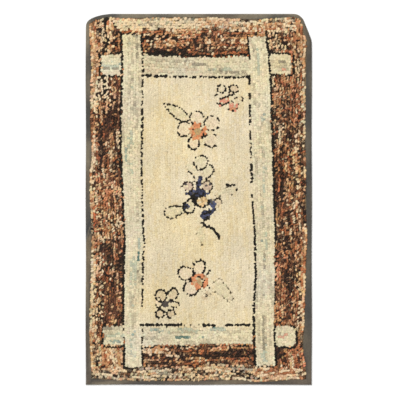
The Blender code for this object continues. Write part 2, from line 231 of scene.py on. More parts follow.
# Where each mix lies: group, first row, last row, from, to, mix. Later lines win.
ZONES = (
    ("border_left", 0, 9, -500, 500, "mixed"),
    ("border_left", 0, 1, 390, 500, "camel"), ("border_left", 2, 2, 400, 500, "rust"),
    ("border_left", 3, 4, 396, 500, "dashes"), ("border_left", 5, 5, 396, 500, "black"),
    ("border_left", 6, 7, 396, 500, "light_rust"), ("border_left", 8, 9, 396, 500, "shade"),
    ("border_left", 0, 1, 250, 392, "light"), ("border_left", 2, 2, 250, 392, "camel"),
    ("border_left", 2, 2, 258, 334, "dashes"), ("border_left", 3, 3, 258, 334, "cream"),
    ("border_left", 4, 4, 258, 334, "black"), ("border_left", 5, 5, 262, 332, "cream"),
    ("border_left", 6, 6, 258, 334, "dark"),
    ("border_left", 7, 9, 258, 334, "maroon"), ("border_left", 0, 1, 172, 252, "orange"),
    ("border_left", 2, 9, 172, 258, "maroon"), ("border_left", 0, 1, 60, 172, "light_rust"),
    ("border_left", 3, 4, 90, 172, "shade"), ("border_left", 2, 9, -22, 60, "orange"),
    ("border_left", 0, 0, -110, 60, "light"), ("border_left", 3, 8, -110, -22, "speckle"),
    ("border_left", 1, 1, -84, -16, "brick"), ("border_left", 0, 0, -500, -84, "light"),
    ("border_left", 1, 1, -500, -84, "light_rust"),
    ("border_left", 3, 3, -340, -150, "dashes"), ("border_left", 4, 9, -230, -110, "shade"),
    ("border_left", 4, 9, -340, -230, "maroon"), ("border_left", 6, 7, -210, -160, "speckle"),
    ("border_left", 3, 9, -456, -392, "camel"), ("border_left", 2, 2, -460, -330, "dashes"),
    ("border_right", 0, 9, -500, 500, "mixed"), ("border_right", 0, 2, 340, 500, "camel"),
    ("border_right", 3, 4, 396, 500, "orange"), ("border_right", 5, 9, 392, 456, "dashes"),
    ("border_right", 1, 1, 335, 405, "dashes"), ("border_right", 2, 4, 200, 392, "orange"),
    ("border_right", 0, 0, 220, 338, "light"), ("border_right", 0, 0, 60, 220, "light_rust"),
    ("border_right", 5, 9, 262, 334, "speckle"), ("border_right", 2, 2, -60, 200, "light_rust"),
    ("border_right", 6, 6, -60, 190, "speckle"), ("border_right", 7, 9, -60, 120, "shade"),
    ("border_right", 0, 1, -340, -60, "light_rust"), ("border_right", 3, 3, -340, -60, "speckle"),
    ("border_right", 5, 7, -220, -80, "shade"), ("border_right", 8, 9, -330, -130, "orange"),
    ("border_right", 5, 6, -330, -230, "maroon"), ("border_right", 0, 9, -500, -396, "orange"),
    ("border_right", 7, 9, -440, -400, "dark"),
    ("border_top", 0, 11, -305, 305, "rust"), ("border_top", 0, 3, -260, 0, "pale"),
    ("border_top", 0, 3, 0, 270, "light"), ("border_top", 3, 3, 40, 240, "light_rust"),
    ("border_top", 5, 5, -10, 140, "dark"), ("border_top", 6, 6, -156, -50, "black"),
    ("border_top", 7, 7, -156, -122, "black"), ("border_top", 8, 8, -150, -60, "camel"),
    ("border_top", 7, 7, -20, 130, "light_rust"), ("border_top", 7, 8, -60, -20, "shade"),
    ("border_top", 9, 9, -20, 140, "shade"), ("border_top", 10, 11, -156, -45, "dark"),
    ("border_top", 11, 11, -156, -45, "black"), ("border_top", 11, 11, -45, 140, "dark"), ("border_top", 10, 10, -45, 140, "mixed"),
    ("border_bottom", 0, 10, -305, 305, "mixed"), ("border_bottom", 0, 4, -305, 150, "bottom"),
    ("border_bottom", 0, 4, 150, 305, "light_rust"), ("border_bottom", 0, 0, -100, 10, "dashes"),
    ("border_bottom", 2, 2, -60, 10, "dashes"), ("border_bottom", 1, 2, 60, 150, "dashes"),
    ("border_bottom", 4, 4, -150, 20, "rust"), ("border_bottom", 5, 5, -150, 150, "shade"), ("border_bottom", 6, 6, -150, 150, "rust"),
    ("border_bottom", 7, 7, -150, 150, "dark"), ("border_bottom", 8, 8, -130, -30, "light_rust"),
    ("border_bottom", 8, 8, -30, 150, "dark"), ("border_bottom", 9, 9, -150, 150, "shade"),
    ("border_bottom", 10, 10, -150, 150, "orange"), ("border_bottom", 9, 10, -150, -90, "camel"),
    ("rail_left", 0, 5, -500, 500, "rail"), ("rail_left", 2, 2, 352, 434, "rail_blue"),
    ("rail_left", 4, 4, 355, 432, "rail_grey"), ("rail_left", 3, 3, 250, 330, "rail_grey"),
    ("rail_left", 3, 3, 215, 246, "rail_blue"), ("rail_left", 2, 3, 150, 195, "rail_blue"),
    ("rail_left", 1, 1, 98, 140, "rail_blue"), ("rail_left", 2, 2, 55, 100, "rail_grey"),
    ("rail_left", 4, 4, -165, -104, "rail_teal"), ("rail_left", 2, 3, -232, -156, "rail_blue"),
    ("rail_left", 4, 4, -245, -190, "rail_dark"), ("rail_left", 2, 2, -300, -235, "rail_blue"),
    ("rail_left", 2, 3, -350, -310, "rail_grey"), ("rail_left", 2, 3, -425, -362, "rail_blue"),
    ("rail_right", 0, 5, -500, 500, "rail"), ("rail_right", 1, 1, 405, 425, "rail_dark"),
    ("rail_right", 2, 2, 325, 405, "rail_blue"), ("rail_right", 2, 2, 258, 315, "rail_grey"),
    ("rail_right", 3, 3, 195, 228, "rail_blue"), ("rail_right", 3, 3, 120, 156, "rail_blue"),
    ("rail_right", 3, 3, 20, 86, "rail_blue"), ("rail_right", 2, 3, -80, 0, "rail_grey"),
    ("rail_right", 2, 3, -140, -92, "rail_blue"), ("rail_right", 2, 2, -310, -150, "rail_grey"),
    ("rail_right", 2, 3, -425, -312, "rail_dark"), ("rail_right", 2, 3, -432, -400, "rail_blue"),
    ("bar_top", 0, 5, -160, 150, "rail"), ("bar_top", 1, 1, -70, 10, "rail_dark"),
    ("bar_top", 2, 4, -160, -10, "rail_warm"), ("bar_top", 2, 2, -20, 20, "rail_grey"),
    ("bar_top", 3, 4, 20, 130, "rail_grey"), ("bar_top", 5, 5, -160, -60, "rail_warm"),
    ("bar_low", 0, 5, -160, 150, "rail"), ("bar_low", 0, 0, -134, -8, "rail_teal"),
    ("bar_low", 0, 0, 30, 77, "rail_teal"),
    ("bar_low", 1, 1, -100, 10, "rail_blue"), ("bar_low", 3, 3, -73, 28, "rail_teal"),
    ("stub_0", 1, 4, -300, 0, "rail_grey"), ("stub_0", 2, 3, -300, 0, "rail_blue"), ("stub_0", 0, 0, -300, 0, "rail"), ("stub_0", 5, 5, -300, 0, "rail"),
    ("stub_1", 0, 5, 0, 300, "rail"), ("stub_1", 2, 3, 215, 240, "rail_dark"), ("stub_1", 4, 4, 213, 239, "rail_pink"),
    ("stub_2", 0, 5, -300, 0, "rail_grey"), ("stub_2", 2, 4, -240, -212, "rail_blue"), ("stub_2", 4, 4, -228, -208, "rail_teal"),
    ("stub_3", 0, 5, 0, 300, "rail"), ("stub_3", 2, 3, 210, 240, "rail_pink"), ("stub_3", 1, 2, 206, 226, "rail_grey"),
)


def linear(rgb):
    """Screen colour, 0 to 255, as the linear colour that shaders take."""
    c = np.asarray(rgb, float) / 255
    return np.where(c <= 0.04045, c / 12.92, ((c + 0.055) / 1.055) ** 2.4)


def drift(x, y, scale, seed):
    """Smooth, uneven change over the rug, about -1 to 1."""
    turn = np.random.default_rng(seed).uniform(0, 2 * math.pi, (5, 2))
    total = 0.0
    for k, (way, phase) in enumerate(turn):
        reach = scale * (0.6 + 0.3 * k)
        total = total + np.sin(2 * math.pi * (np.cos(way) * x + np.sin(way) * y) / reach + phase)
    return total / 2.4


# The rug's outline

def eased(table, at):
    places, widths = [row[0] for row in table], [row[1] for row in table]
    i = max(0, min(len(places) - 2, int(np.searchsorted(places, at)) - 1))
    share = min(1.0, max(0.0, (at - places[i]) / (places[i + 1] - places[i])))
    return widths[i] + (widths[i + 1] - widths[i]) * share * share * (3 - 2 * share)


def bow(at):
    return BOW * (1 - math.cos(2 * math.pi * at / BOW_LENGTH)) / 2


def outline(step):
    """Stations round the edge from the tape's join, anticlockwise: x, y, inward x, inward y, face width."""
    w, h = WIDTH / 2, LENGTH / 2
    sides = (
        ([(-w, JOIN_LOW), (-w, -h)], FACE_LEFT, 1), ([(-w, -h), (w, -h)], FACE_BOTTOM, 0),
        ([(w, -h), (w, h - WORN_RIGHT[-1][1])], FACE_RIGHT, 1),
        ([(w - a, h - d) for a, d in reversed(WORN_RIGHT)], FACE_WORN, 1),
        ([(w - WORN_RIGHT[0][0], h), (-w + WORN_LEFT[-1][0], h)], FACE_TOP, 0),
        ([(-w + a, h - d) for a, d in reversed(WORN_LEFT)], FACE_LEFT, 1),
        ([(-w, h - WORN_LEFT[0][1]), (-w, JOIN_LOW)], FACE_LEFT, 1),
    )
    found, square = [], []
    for points, table, axis in sides:
        for (x0, y0), (x1, y1) in zip(points, points[1:]):
            count = max(1, round(math.hypot(x1 - x0, y1 - y0) / step))
            for i in range(count):
                x, y = x0 + (x1 - x0) * i / count, y0 + (y1 - y0) * i / count
                face = eased(table, y if axis else x)
                square.append(i == 0 and y == -h)
                if not square[-1]:
                    x -= math.copysign(bow(y), x) if axis and abs(x) == w else 0
                    y += bow(x - w) if not axis and y == -h else 0
                found.append((x, y, face))
    found.append((-w + bow(JOIN_LOW), JOIN_LOW, eased(FACE_LEFT, JOIN_LOW)))
    square.append(False)
    p = np.array(found)
    worn = (p[:, 1] > h - 90) & ~np.array(square)
    for _ in range(3):
        smooth = (np.roll(p, 1, 0) + np.roll(p, -1, 0) + 2 * p) / 4
        p[worn, :2] = smooth[worn, :2]
    way = np.diff(p[:, :2], axis=0)
    way /= np.linalg.norm(way, axis=1)[:, None]
    side = np.stack([-way[:, 1], way[:, 0]], 1)
    before, after = np.vstack([side[:1], side]), np.vstack([side, side[-1:]])
    middle = before + after
    middle /= (middle * before).sum(1)[:, None]
    return np.hstack([p[:, :2], middle, p[:, 2:]])


EDGE = outline(4.5)
WALL = EDGE[:-1, :2] + EDGE[:-1, 2:4] * (EDGE[:-1, 4:] + GAP - LEAN)
# At the two square corners the wall's stations would cross, so those past the corner go
PAST = (np.abs(WALL[:, 0]) > 285) & ((WALL[:, 1] < -485) | ((np.abs(WALL[:, 0]) > 290) & (WALL[:, 1] < -480)))
WALL = WALL[~PAST]


def wall_room(x, y):
    """Distance in from the pile's wall, less than 0 outside it, and the inward direction there."""
    corners = WALL[::2]
    best, nx, ny = np.full(len(x), 1e9), np.zeros(len(x)), np.zeros(len(x))
    inside = np.zeros(len(x), bool)
    for (ax, ay), (bx, by) in zip(corners, np.roll(corners, -1, 0)):
        dx, dy = bx - ax, by - ay
        size = math.hypot(dx, dy)
        t = np.clip(((x - ax) * dx + (y - ay) * dy) / size ** 2, 0, 1)
        far = np.hypot(x - ax - t * dx, y - ay - t * dy)
        nearer = far < best
        best[nearer] = far[nearer]
        nx[nearer], ny[nearer] = -dy / size, dx / size
        if ay != by:
            crossed = ((ay > y) != (by > y)) & (x < ax + (y - ay) * dx / dy)
            inside ^= crossed
    return np.where(inside, best, -best), nx, ny


# Where the loops go

loops = []


def add_loop(x, y, way, group, row, along, size=1.0, colour=None, held=False):
    loops.append((x, y, way, group, row, along, size, colour, held))


def across(table, at):
    rows = np.array(table, float)
    return [float(np.interp(at, rows[:, 0], rows[:, k])) for k in range(1, rows.shape[1])]


def edge_face(table):
    return lambda at: eased(table, at) + GAP


def lay_rows(group, low, high, lanes, start, end, upright, keep=None):
    """Rows of loops between two edges. The zones below count lanes of 8 mm across them."""
    middle = (start + end) / 2
    pitch, row = (BORDER_PITCH, BORDER_ROW) if group.startswith("border") else (PITCH, ROW)
    rows = round(abs(high(middle) - low(middle)) / row)
    for k in range(rows):
        phase = rng.uniform(0, 6.28)
        share = (k + 0.5) / rows
        t = start + pitch * (0.3 + 0.5 * (k % 2))
        while t < end - 0.3 * pitch:
            wave = 0.6 * math.sin(t / 31 + phase)
            if pitch == BORDER_PITCH:
                wave += 2.4 * drift(t, 8 * k, 120, 41)
            a = low(t) + (high(t) - low(t)) * share + wave + rng.normal(0, 1.15 if pitch == BORDER_PITCH else 0.75)
            x, y = (a, t) if upright else (t, a)
            if keep is None or keep(x, y):
                add_loop(x, y, math.pi / 2 if upright else 0.0, group, share * lanes, t)
            t += pitch * rng.uniform(0.84, 1.16)


def taken(x, y, grown=4.5):
    """Whether a band or the end of one lies here."""
    rail_l, rail_r = across(LEFT_RAIL, y), across(RIGHT_RAIL, y)
    if -453 < y < 444 and rail_l[0] - grown < x < rail_l[1] + grown:
        return True
    if -448 < y < 440 and rail_r[0] - grown < x < rail_r[1] + grown:
        return True
    return any(l - grown < x < r + grown and b - grown < y < t + grown for l, r, b, t in STUBS)


def line_of_loops(points, share, size, colour, group="outline", pitch=OUTLINE_PITCH, clear=4.4, uneven=0.8,
                  avoid=()):
    """Loops along a line, dropped here and there so that the line breaks."""
    p = np.array(points, float)
    steps = np.hypot(*np.diff(p, axis=0).T)
    total = steps.sum()
    count = max(1, round(total / pitch))
    marks = np.concatenate([[0], np.cumsum(steps)])
    for i in range(count):
        at = total * (i + 0.5) / count + rng.normal(0, 0.4)
        x, y = np.interp(at, marks, p[:, 0]), np.interp(at, marks, p[:, 1])
        x1, y1 = np.interp(at + 1, marks, p[:, 0]), np.interp(at + 1, marks, p[:, 1])
        x0, y0 = np.interp(at - 1, marks, p[:, 0]), np.interp(at - 1, marks, p[:, 1])
        if rng.random() > share or not is_clear(x, y, clear) or any(math.hypot(x - a, y - b) < r for a, b, r in avoid):
            continue
        x, y = x + rng.normal(0, uneven), y + rng.normal(0, uneven)
        own = size * rng.uniform(0.72, 1.14) if group == "outline" else size
        add_loop(x, y, math.atan2(y1 - y0, x1 - x0), group, 0, at, own, colour, True)


def is_clear(x, y, clear):
    return all((q[0] - x) ** 2 + (q[1] - y) ** 2 > clear * clear for q in loops)


def lay_rings(x, y, a, b, turn, fill, clear=4.4):
    """Loops in closed rings inside an oval, from its outline in to the middle."""
    c, s = math.cos(math.radians(turn)), math.sin(math.radians(turn))
    a, b = a - 5.6, b - 5.6
    while max(a, b) > 1.5:
        a1, b1 = max(a, 0.5), max(b, 0.5)
        count = max(1, round(math.pi * (a1 + b1) / 6.0)) if max(a, b) > 3 else 1
        for i in range(count):
            t = 2 * math.pi * (i + rng.uniform(-0.1, 0.1)) / count
            u, v = a1 * math.cos(t), b1 * math.sin(t)
            px, py = x + c * u - s * v, y + s * u + c * v
            if is_clear(px, py, clear):
                add_loop(px, py, t + math.pi / 2 + math.radians(turn), "flower", 0, t, 0.94, fill, True)
        a, b = a - 6.2, b - 6.2
    if is_clear(x, y, clear):
        add_loop(x, y, math.radians(turn), "flower", 0, 0, 0.94, fill, True)


def lay_patch(x, y, a, b, turn, fill, clear=4.2):
    """Loops in close rows that fill an oval, however narrow it is."""
    c, s = math.cos(math.radians(turn)), math.sin(math.radians(turn))
    for row in range(-6, 7):
        for step in range(-7, 8):
            u, v = 5.8 * (step + 0.5 * (row % 2)), 5.2 * row
            if (u / (a - 1.5)) ** 2 + (v / (b - 1.5)) ** 2 > 1:
                continue
            px, py = x + c * u - s * v + rng.normal(0, 0.4), y + s * u + c * v + rng.normal(0, 0.4)
            if is_clear(px, py, clear):
                add_loop(px, py, math.radians(turn), "flower", 0, u, 0.94, fill, True)


def lay_leaf(x0, y0, x1, y1, half, belly, fill, share, size, colour):
    """A pointed leaf from its tip to its foot: an outline of loops, then rows along its length."""
    long = math.hypot(x1 - x0, y1 - y0)
    ux, uy = (x1 - x0) / long, (y1 - y0) / long
    spine = np.linspace(0, 1, 13)

    def edge(side, width):
        swell = width * np.sin(math.pi * spine ** belly) ** 0.75
        return [(x0 + ux * long * s - uy * side * w, y0 + uy * long * s + ux * side * w) for s, w in zip(spine, swell)]

    line_of_loops(edge(1, half), share, 1.08 * size, colour, pitch=6.8, uneven=0.5, avoid=OPEN)
    line_of_loops(edge(-1, half), share, 1.08 * size, colour, pitch=6.8, uneven=0.5, avoid=OPEN)
    for offset in (0, -6.2, 6.2):
        if abs(offset) < half - 3:
            trim = 0.16 + 0.12 * (offset != 0)
            start = (x0 + ux * long * trim - uy * offset, y0 + uy * long * trim + ux * offset)
            end = (x1 - ux * long * trim - uy * offset, y1 - uy * long * trim + ux * offset)
            line_of_loops([start, end], 1.0, 0.94, fill, "flower", 6.1, 4.3, 0.4)


def place_motifs():
    for colour, size, points in STROKES:
        line_of_loops(points, 1.0, size, colour, "outline", 6.4, 4.2, 0.5)
    for x, y, rings in CENTRES:
        for radius, colour, share in rings:
            count = max(1, round(2 * math.pi * radius / 6.0))
            for i in range(count):
                t = 2 * math.pi * i / count + radius
                px, py = x + radius * math.cos(t), y + radius * math.sin(t)
                if rng.random() < share and is_clear(px, py, 4.2):
                    add_loop(px, py, t + math.pi / 2, "flower", 0, t, 0.94, colour, True)
    for x, y, a, b, turn, fill, share, size, colour in ROUNDS:
        c, s = math.cos(math.radians(turn)), math.sin(math.radians(turn))
        t = np.linspace(0, 2 * math.pi, 33)
        wide = 1 + 0.06 * np.sin(2 * t + x) + 0.045 * np.sin(3 * t + y)
        u, v = a * wide * np.cos(t), b * wide * np.sin(t)
        ring = np.stack([x + c * u - s * v, y + s * u + c * v], 1)
        line_of_loops(ring, share, 1.08 * size, colour, pitch=6.8, uneven=0.5, avoid=OPEN)
    for patch in PATCHES:
        lay_patch(*patch)
    for x, y, a, b, turn, fill, *_ in ROUNDS:
        lay_rings(x, y, a, b, turn, fill)
    for leaf in LEAVES:
        lay_leaf(*leaf)


def place_outlines():
    for band, side, top, bottom, share, size in RAIL_LINES:
        table = LEFT_RAIL if band == "left" else RIGHT_RAIL
        ys = np.linspace(top, bottom, max(2, round((top - bottom) / 20) + 1))
        points = [(across(table, y)[0 if side < 0 else 1] + side * 3.6, y) for y in ys]
        line_of_loops(points, share, size, "ink")
    for share, size, points in LINES:
        line_of_loops(points, share, size, "ink")


def place_rows():
    half = WIDTH / 2
    left, right = edge_face(FACE_LEFT), edge_face(FACE_RIGHT)
    for name, table in (("rail_left", LEFT_RAIL), ("rail_right", RIGHT_RAIL)):
        lay_rows(name, lambda y: across(table, y)[0], lambda y: across(table, y)[1], 6, table[0][0], table[-1][0], True)
    for name, table in (("bar_top", TOP_BAR), ("bar_low", LOW_BAR)):
        middle = table[0][1]
        start, end = across(LEFT_RAIL, middle)[1] + 7, across(RIGHT_RAIL, middle)[0] - 7
        lay_rows(name, lambda x: across(table, x)[1], lambda x: across(table, x)[0], 6, start, end, False)
    for i, (l, r, b, t) in enumerate(STUBS):
        lay_rows(f"stub_{i}", lambda x: t, lambda x: b, 6, l, r, False)
    lay_rows("field", lambda y: across(LEFT_RAIL, y)[1] + 7, lambda y: across(RIGHT_RAIL, y)[0] - 7, 37, -334.5, 325.5, True)

    # The top ends of the side rows, and where the end rows take over
    def on_left(x, y):
        return not taken(x, y) and y > -456 and x < max(-236 - (y - 486) * 0.62, -236 if y > 446 else -170)

    def on_right(x, y):
        return not taken(x, y) and y > -456 and not (y > 452 and x < 252 + (470 - y) * 0.4)

    lay_rows("border_left", lambda y: -half + left(y), lambda y: across(LEFT_RAIL, y)[0] - 7.5, 10, -486, 496, True, on_left)
    lay_rows("border_right", lambda y: half - right(y), lambda y: across(RIGHT_RAIL, y)[1] + 7.5, 10, -486, 496, True, on_right)
    top, low = edge_face(FACE_TOP), edge_face(FACE_BOTTOM)
    lay_rows("border_top", lambda x: LENGTH / 2 - top(x), lambda x: 392.0, 12, -250, 262, False,
             lambda x, y: not taken(x, y) and not on_left(x, y) and not (x > 182 and y < 452) and x > -226 - (y - 446) * 0.4)
    lay_rows("border_bottom", lambda x: -LENGTH / 2 + low(x), lambda x: -396.0, 11, -291, 287, False,
             lambda x, y: not taken(x, y) and (y < -456 or -150 < x < 150))


def settle(x, y, held, size, rounds=10, reach=6.2, wall=3.0):
    """Crowded loops push each other apart, and stay inside the pile's wall."""
    ease = np.where(held, 0.12, 1.0)
    for _ in range(rounds):
        tree = kdtree.KDTree(len(x))
        for i in range(len(x)):
            tree.insert((x[i], y[i], 0), i)
        tree.balance()
        mx, my = np.zeros(len(x)), np.zeros(len(x))
        for i in range(len(x)):
            for spot, j, far in tree.find_range((x[i], y[i], 0), reach):
                room = size[i] + size[j]
                if j != i and 0 < far < room:
                    push = 0.45 * (room - far) / far
                    mx[i] += (x[i] - spot[0]) * push
                    my[i] += (y[i] - spot[1]) * push
        x, y = x + mx * ease, y + my * ease
        inner, nx, ny = wall_room(x, y)
        lack = np.clip(wall - inner, 0, None)
        x, y = x + nx * lack, y + ny * lack
    return x, y


def fill_gaps(x, y, size):
    """Places for loops where the rows left bare ground, with the loop that each one follows."""
    gx, gy = np.meshgrid(np.arange(-300, 300, 2.5), np.arange(-496, 496, 2.5))
    gx, gy = gx.ravel(), gy.ravel()
    inner, _, _ = wall_room(gx, gy)
    gx, gy = gx[inner > 2.8], gy[inner > 2.8]
    tree = kdtree.KDTree(len(x))
    for i in range(len(x)):
        tree.insert((x[i], y[i], 0), i)
    tree.balance()
    near = [tree.find((a, b, 0)) for a, b in zip(gx, gy)]
    far = np.array([n[2] - size[n[1]] for n in near]) + 3.1
    found = []
    for k in np.argsort(-far):
        if far[k] < 4.55:
            break
        if far[k] < 5.35 and loops[near[k][1]][3].startswith("border"):
            continue
        if all((gx[k] - a) ** 2 + (gy[k] - b) ** 2 > 5.2 ** 2 for a, b, _ in found):
            found.append((gx[k], gy[k], near[k][1]))
    return found


def on_band(x, y):
    if taken(x, y, 1):
        return True
    return -155 < x < 145 and any(across(bar, x)[0] - 1 < y < across(bar, x)[1] + 1 for bar in (TOP_BAR, LOW_BAR))


def nearest_fill(x, y):
    """The nearest loop that isn't part of an outline and lies on the same side of a band's edge."""
    light = on_band(x, y)
    fits = (l for l in loops if l[3] != "outline" and l[3].startswith(("rail", "bar", "stub")) == light)
    return min(fits, key=lambda l: (l[0] - x) ** 2 + (l[1] - y) ** 2)


place_outlines()
place_motifs()
held_count = len(loops)
place_rows()

fixed = kdtree.KDTree(held_count)
for i in range(held_count):
    fixed.insert((loops[i][0], loops[i][1], 0), i)
fixed.balance()


# The ground that each loop takes up: the thin black loops take less
def ground(loop):
    if loop[3].startswith("border"):
        return 2.75
    if loop[3] == "outline" and loop[6] < 1.15:
        return 2.7 if loop[6] > 0.5 else 2.15
    return 3.1


kept = loops[:held_count]
for loop in loops[held_count:]:
    spot, i, far = fixed.find((loop[0], loop[1], 0))
    if far > 1.25 + ground(loops[i]):
        kept.append(loop)
inner, _, _ = wall_room(np.array([l[0] for l in kept]), np.array([l[1] for l in kept]))
loops = [l for l, room in zip(kept, inner) if room > 0.8]
X, Y = np.array([l[0] for l in loops]), np.array([l[1] for l in loops])
HELD = np.array([l[8] for l in loops])
TAKES = np.array([ground(l) for l in loops])
X, Y = settle(X, Y, HELD, TAKES)
extra = fill_gaps(X, Y, TAKES)
for ex, ey, i in extra:
    copy = loops[i] if loops[i][3] in ("field", "flower") else nearest_fill(ex, ey)
    loops.append((ex, ey) + copy[2:8] + (False,))
    X, Y, HELD, TAKES = np.append(X, ex), np.append(Y, ey), np.append(HELD, False), np.append(TAKES, 3.1)
X, Y = settle(X, Y, HELD, TAKES, 3)
# A loop that was pushed past the pile's wall is left out
inside = wall_room(X, Y)[0] > 1.5
loops = [loop for loop, within in zip(loops, inside) if within]
X, Y = X[inside], Y[inside]
COUNT = len(loops)
print(int((~inside).sum()), "loops left out past the wall")
GROUP = np.array([l[3] for l in loops])
ROWS = np.array([l[4] for l in loops])
ALONG = np.array([l[5] for l in loops])
WAY = np.array([l[2] for l in loops])
SIZE = np.array([l[6] for l in loops])
print(COUNT, "loops, of which", held_count, "held and", len(extra), "in gaps")


# The loops' colours

def pick(mix, chance):
    total = sum(w for _, w in MIXES[mix])
    for name, weight in MIXES[mix]:
        chance -= weight / total
        if chance <= 0:
            return name
    return MIXES[mix][-1][0]


# The second colour in each rag that isn't one of a mix
OTHERS = {"orange": "tan", "flame": "orange", "gold": "tan", "ochre": "grey", "dusk": "beige", "navy": "indigo", "indigo": "navy",
          "salmon": "beige", "beige": "pale", "blush": "field", "leaf": "field", "slate": "umber"}


LIGHT_MIXES = ("light", "pale", "bottom", "light_rust", "camel")
LANES = {"border_left": 10, "border_right": 10, "border_top": 12, "border_bottom": 11}


def colours():
    """Each loop's rag colour and fleck colour, linear, how much fleck it has and how bright its painted crevice shade
    is.
    """
    brightest = linear((229, 203, 164))
    rag, fleck, amount, crevice_shade = np.zeros((COUNT, 3)), np.zeros((COUNT, 3)), np.zeros(COUNT), np.ones(COUNT)
    strips, clumps = {}, {}
    for i, (_, _, _, group, row, along, _, colour, _) in enumerate(loops):
        border = group.startswith("border")
        if colour is None:
            run = 52 if border else 64
            shift = (row * 37) % run
            key = (group, row, int((along + 600 + shift) // run))
            if key not in strips:
                strips[key] = (rng.random(), rng.random(), rng.normal(0, 1), rng.normal(0, 12))
            strip = strips[key]
            mix = "field"
            lane, place = row + rng.normal(0, 0.38), along + strip[3] + rng.normal(0, 7)
            if not border:
                lane, place = row + rng.normal(0, 0.12), along + 0.6 * strip[3]
            lane = min(max(lane, 0), LANES.get(group, 6) - 0.01)
            for zone, first, last, low, high, name in ZONES:
                if zone == group and first <= lane < last + 1 and low <= place <= high:
                    mix = name
            if group.startswith(("rail", "bar", "stub")) and mix == "field":
                mix = "rail"
            loose = 0.34 if mix in ("dashes", "speckle") else 0.12 if border else 0.22
            clump = clumps.setdefault((group, row // 2, along // 24), rng.random())
            draw = rng.random()
            colour = pick(mix, rng.random() if draw < loose else clump if border and draw < loose + 0.2 else strip[0])
            other = pick(mix, rng.random() if border else strip[1])
            tone = 1 + 0.035 * strip[2] * (1.6 if border else 0.45)
            tone *= 0.93 if group == "bar_top" else 1
            if border:
                # The painted crevice shade round these loops darkens them, so their cloth is made brighter to make up
                # for it
                tone *= 1.03 if mix in ("light", "pale") else 0.98 if mix == "bottom" else 1.16
                if mix in ("dark", "shade", "rust", "orange") and group in ("border_top", "border_bottom"):
                    tone *= 1.12
        else:
            if colour in MIXES:
                colour = pick(colour, rng.random())
            other, tone, mix = OTHERS.get(colour, colour), 1.0, "field"
        spread = 0.2 if border else 0.03 if group == "field" else 0.075
        if colour in ("ink", "navy"):
            spread = 0.15
        rag[i] = linear(RAGS[colour]) * tone * (1 + min(0.25, rng.normal(0, spread)))
        rag[i] *= 1 + rng.normal(0, spread * 0.25, 3)
        if border:
            rag[i] = np.minimum(rag[i], brightest)
        fleck[i] = linear(RAGS[other])
        amount[i] = 0.7 if border else 0.6 if group == "flower" else 0.4 if group == "field" else 0.3
        # Painted shade: how bright each loop's colour gets down in the crevices between loops
        crevice_shade[i] = 0.08 if border else 0.92 if group == "field" else 0.5 if group != "flower" else 0.8
        # Light mixes get more fleck and a lighter painted crevice shade
        if mix in LIGHT_MIXES:
            amount[i], crevice_shade[i] = 0.6, 0.52
    wear = 1 + 0.045 * drift(X, Y, 240, 5) + 0.035 * drift(X, Y, 70, 6)
    rag *= wear[:, None]
    warm = 0.03 * drift(X, Y, 190, 9)
    rag[:, 2] *= 1 - 2 * warm
    rag[:, 0] *= 1 + 0.5 * warm
    return np.clip(rag, 0.004, 0.95), fleck, amount, crevice_shade


RAG, FLECK, AMOUNT, CREVICE_SHADE = colours()


# The loops' shapes

def pile_top(x, y):
    waves = np.sin(2 * math.pi * x / SWELL_ACROSS + SWELL_PHASES[0]) * np.sin(2 * math.pi * y / SWELL_ALONG + SWELL_PHASES[1])
    return PILE_TOP - SWELL * (1 - waves)


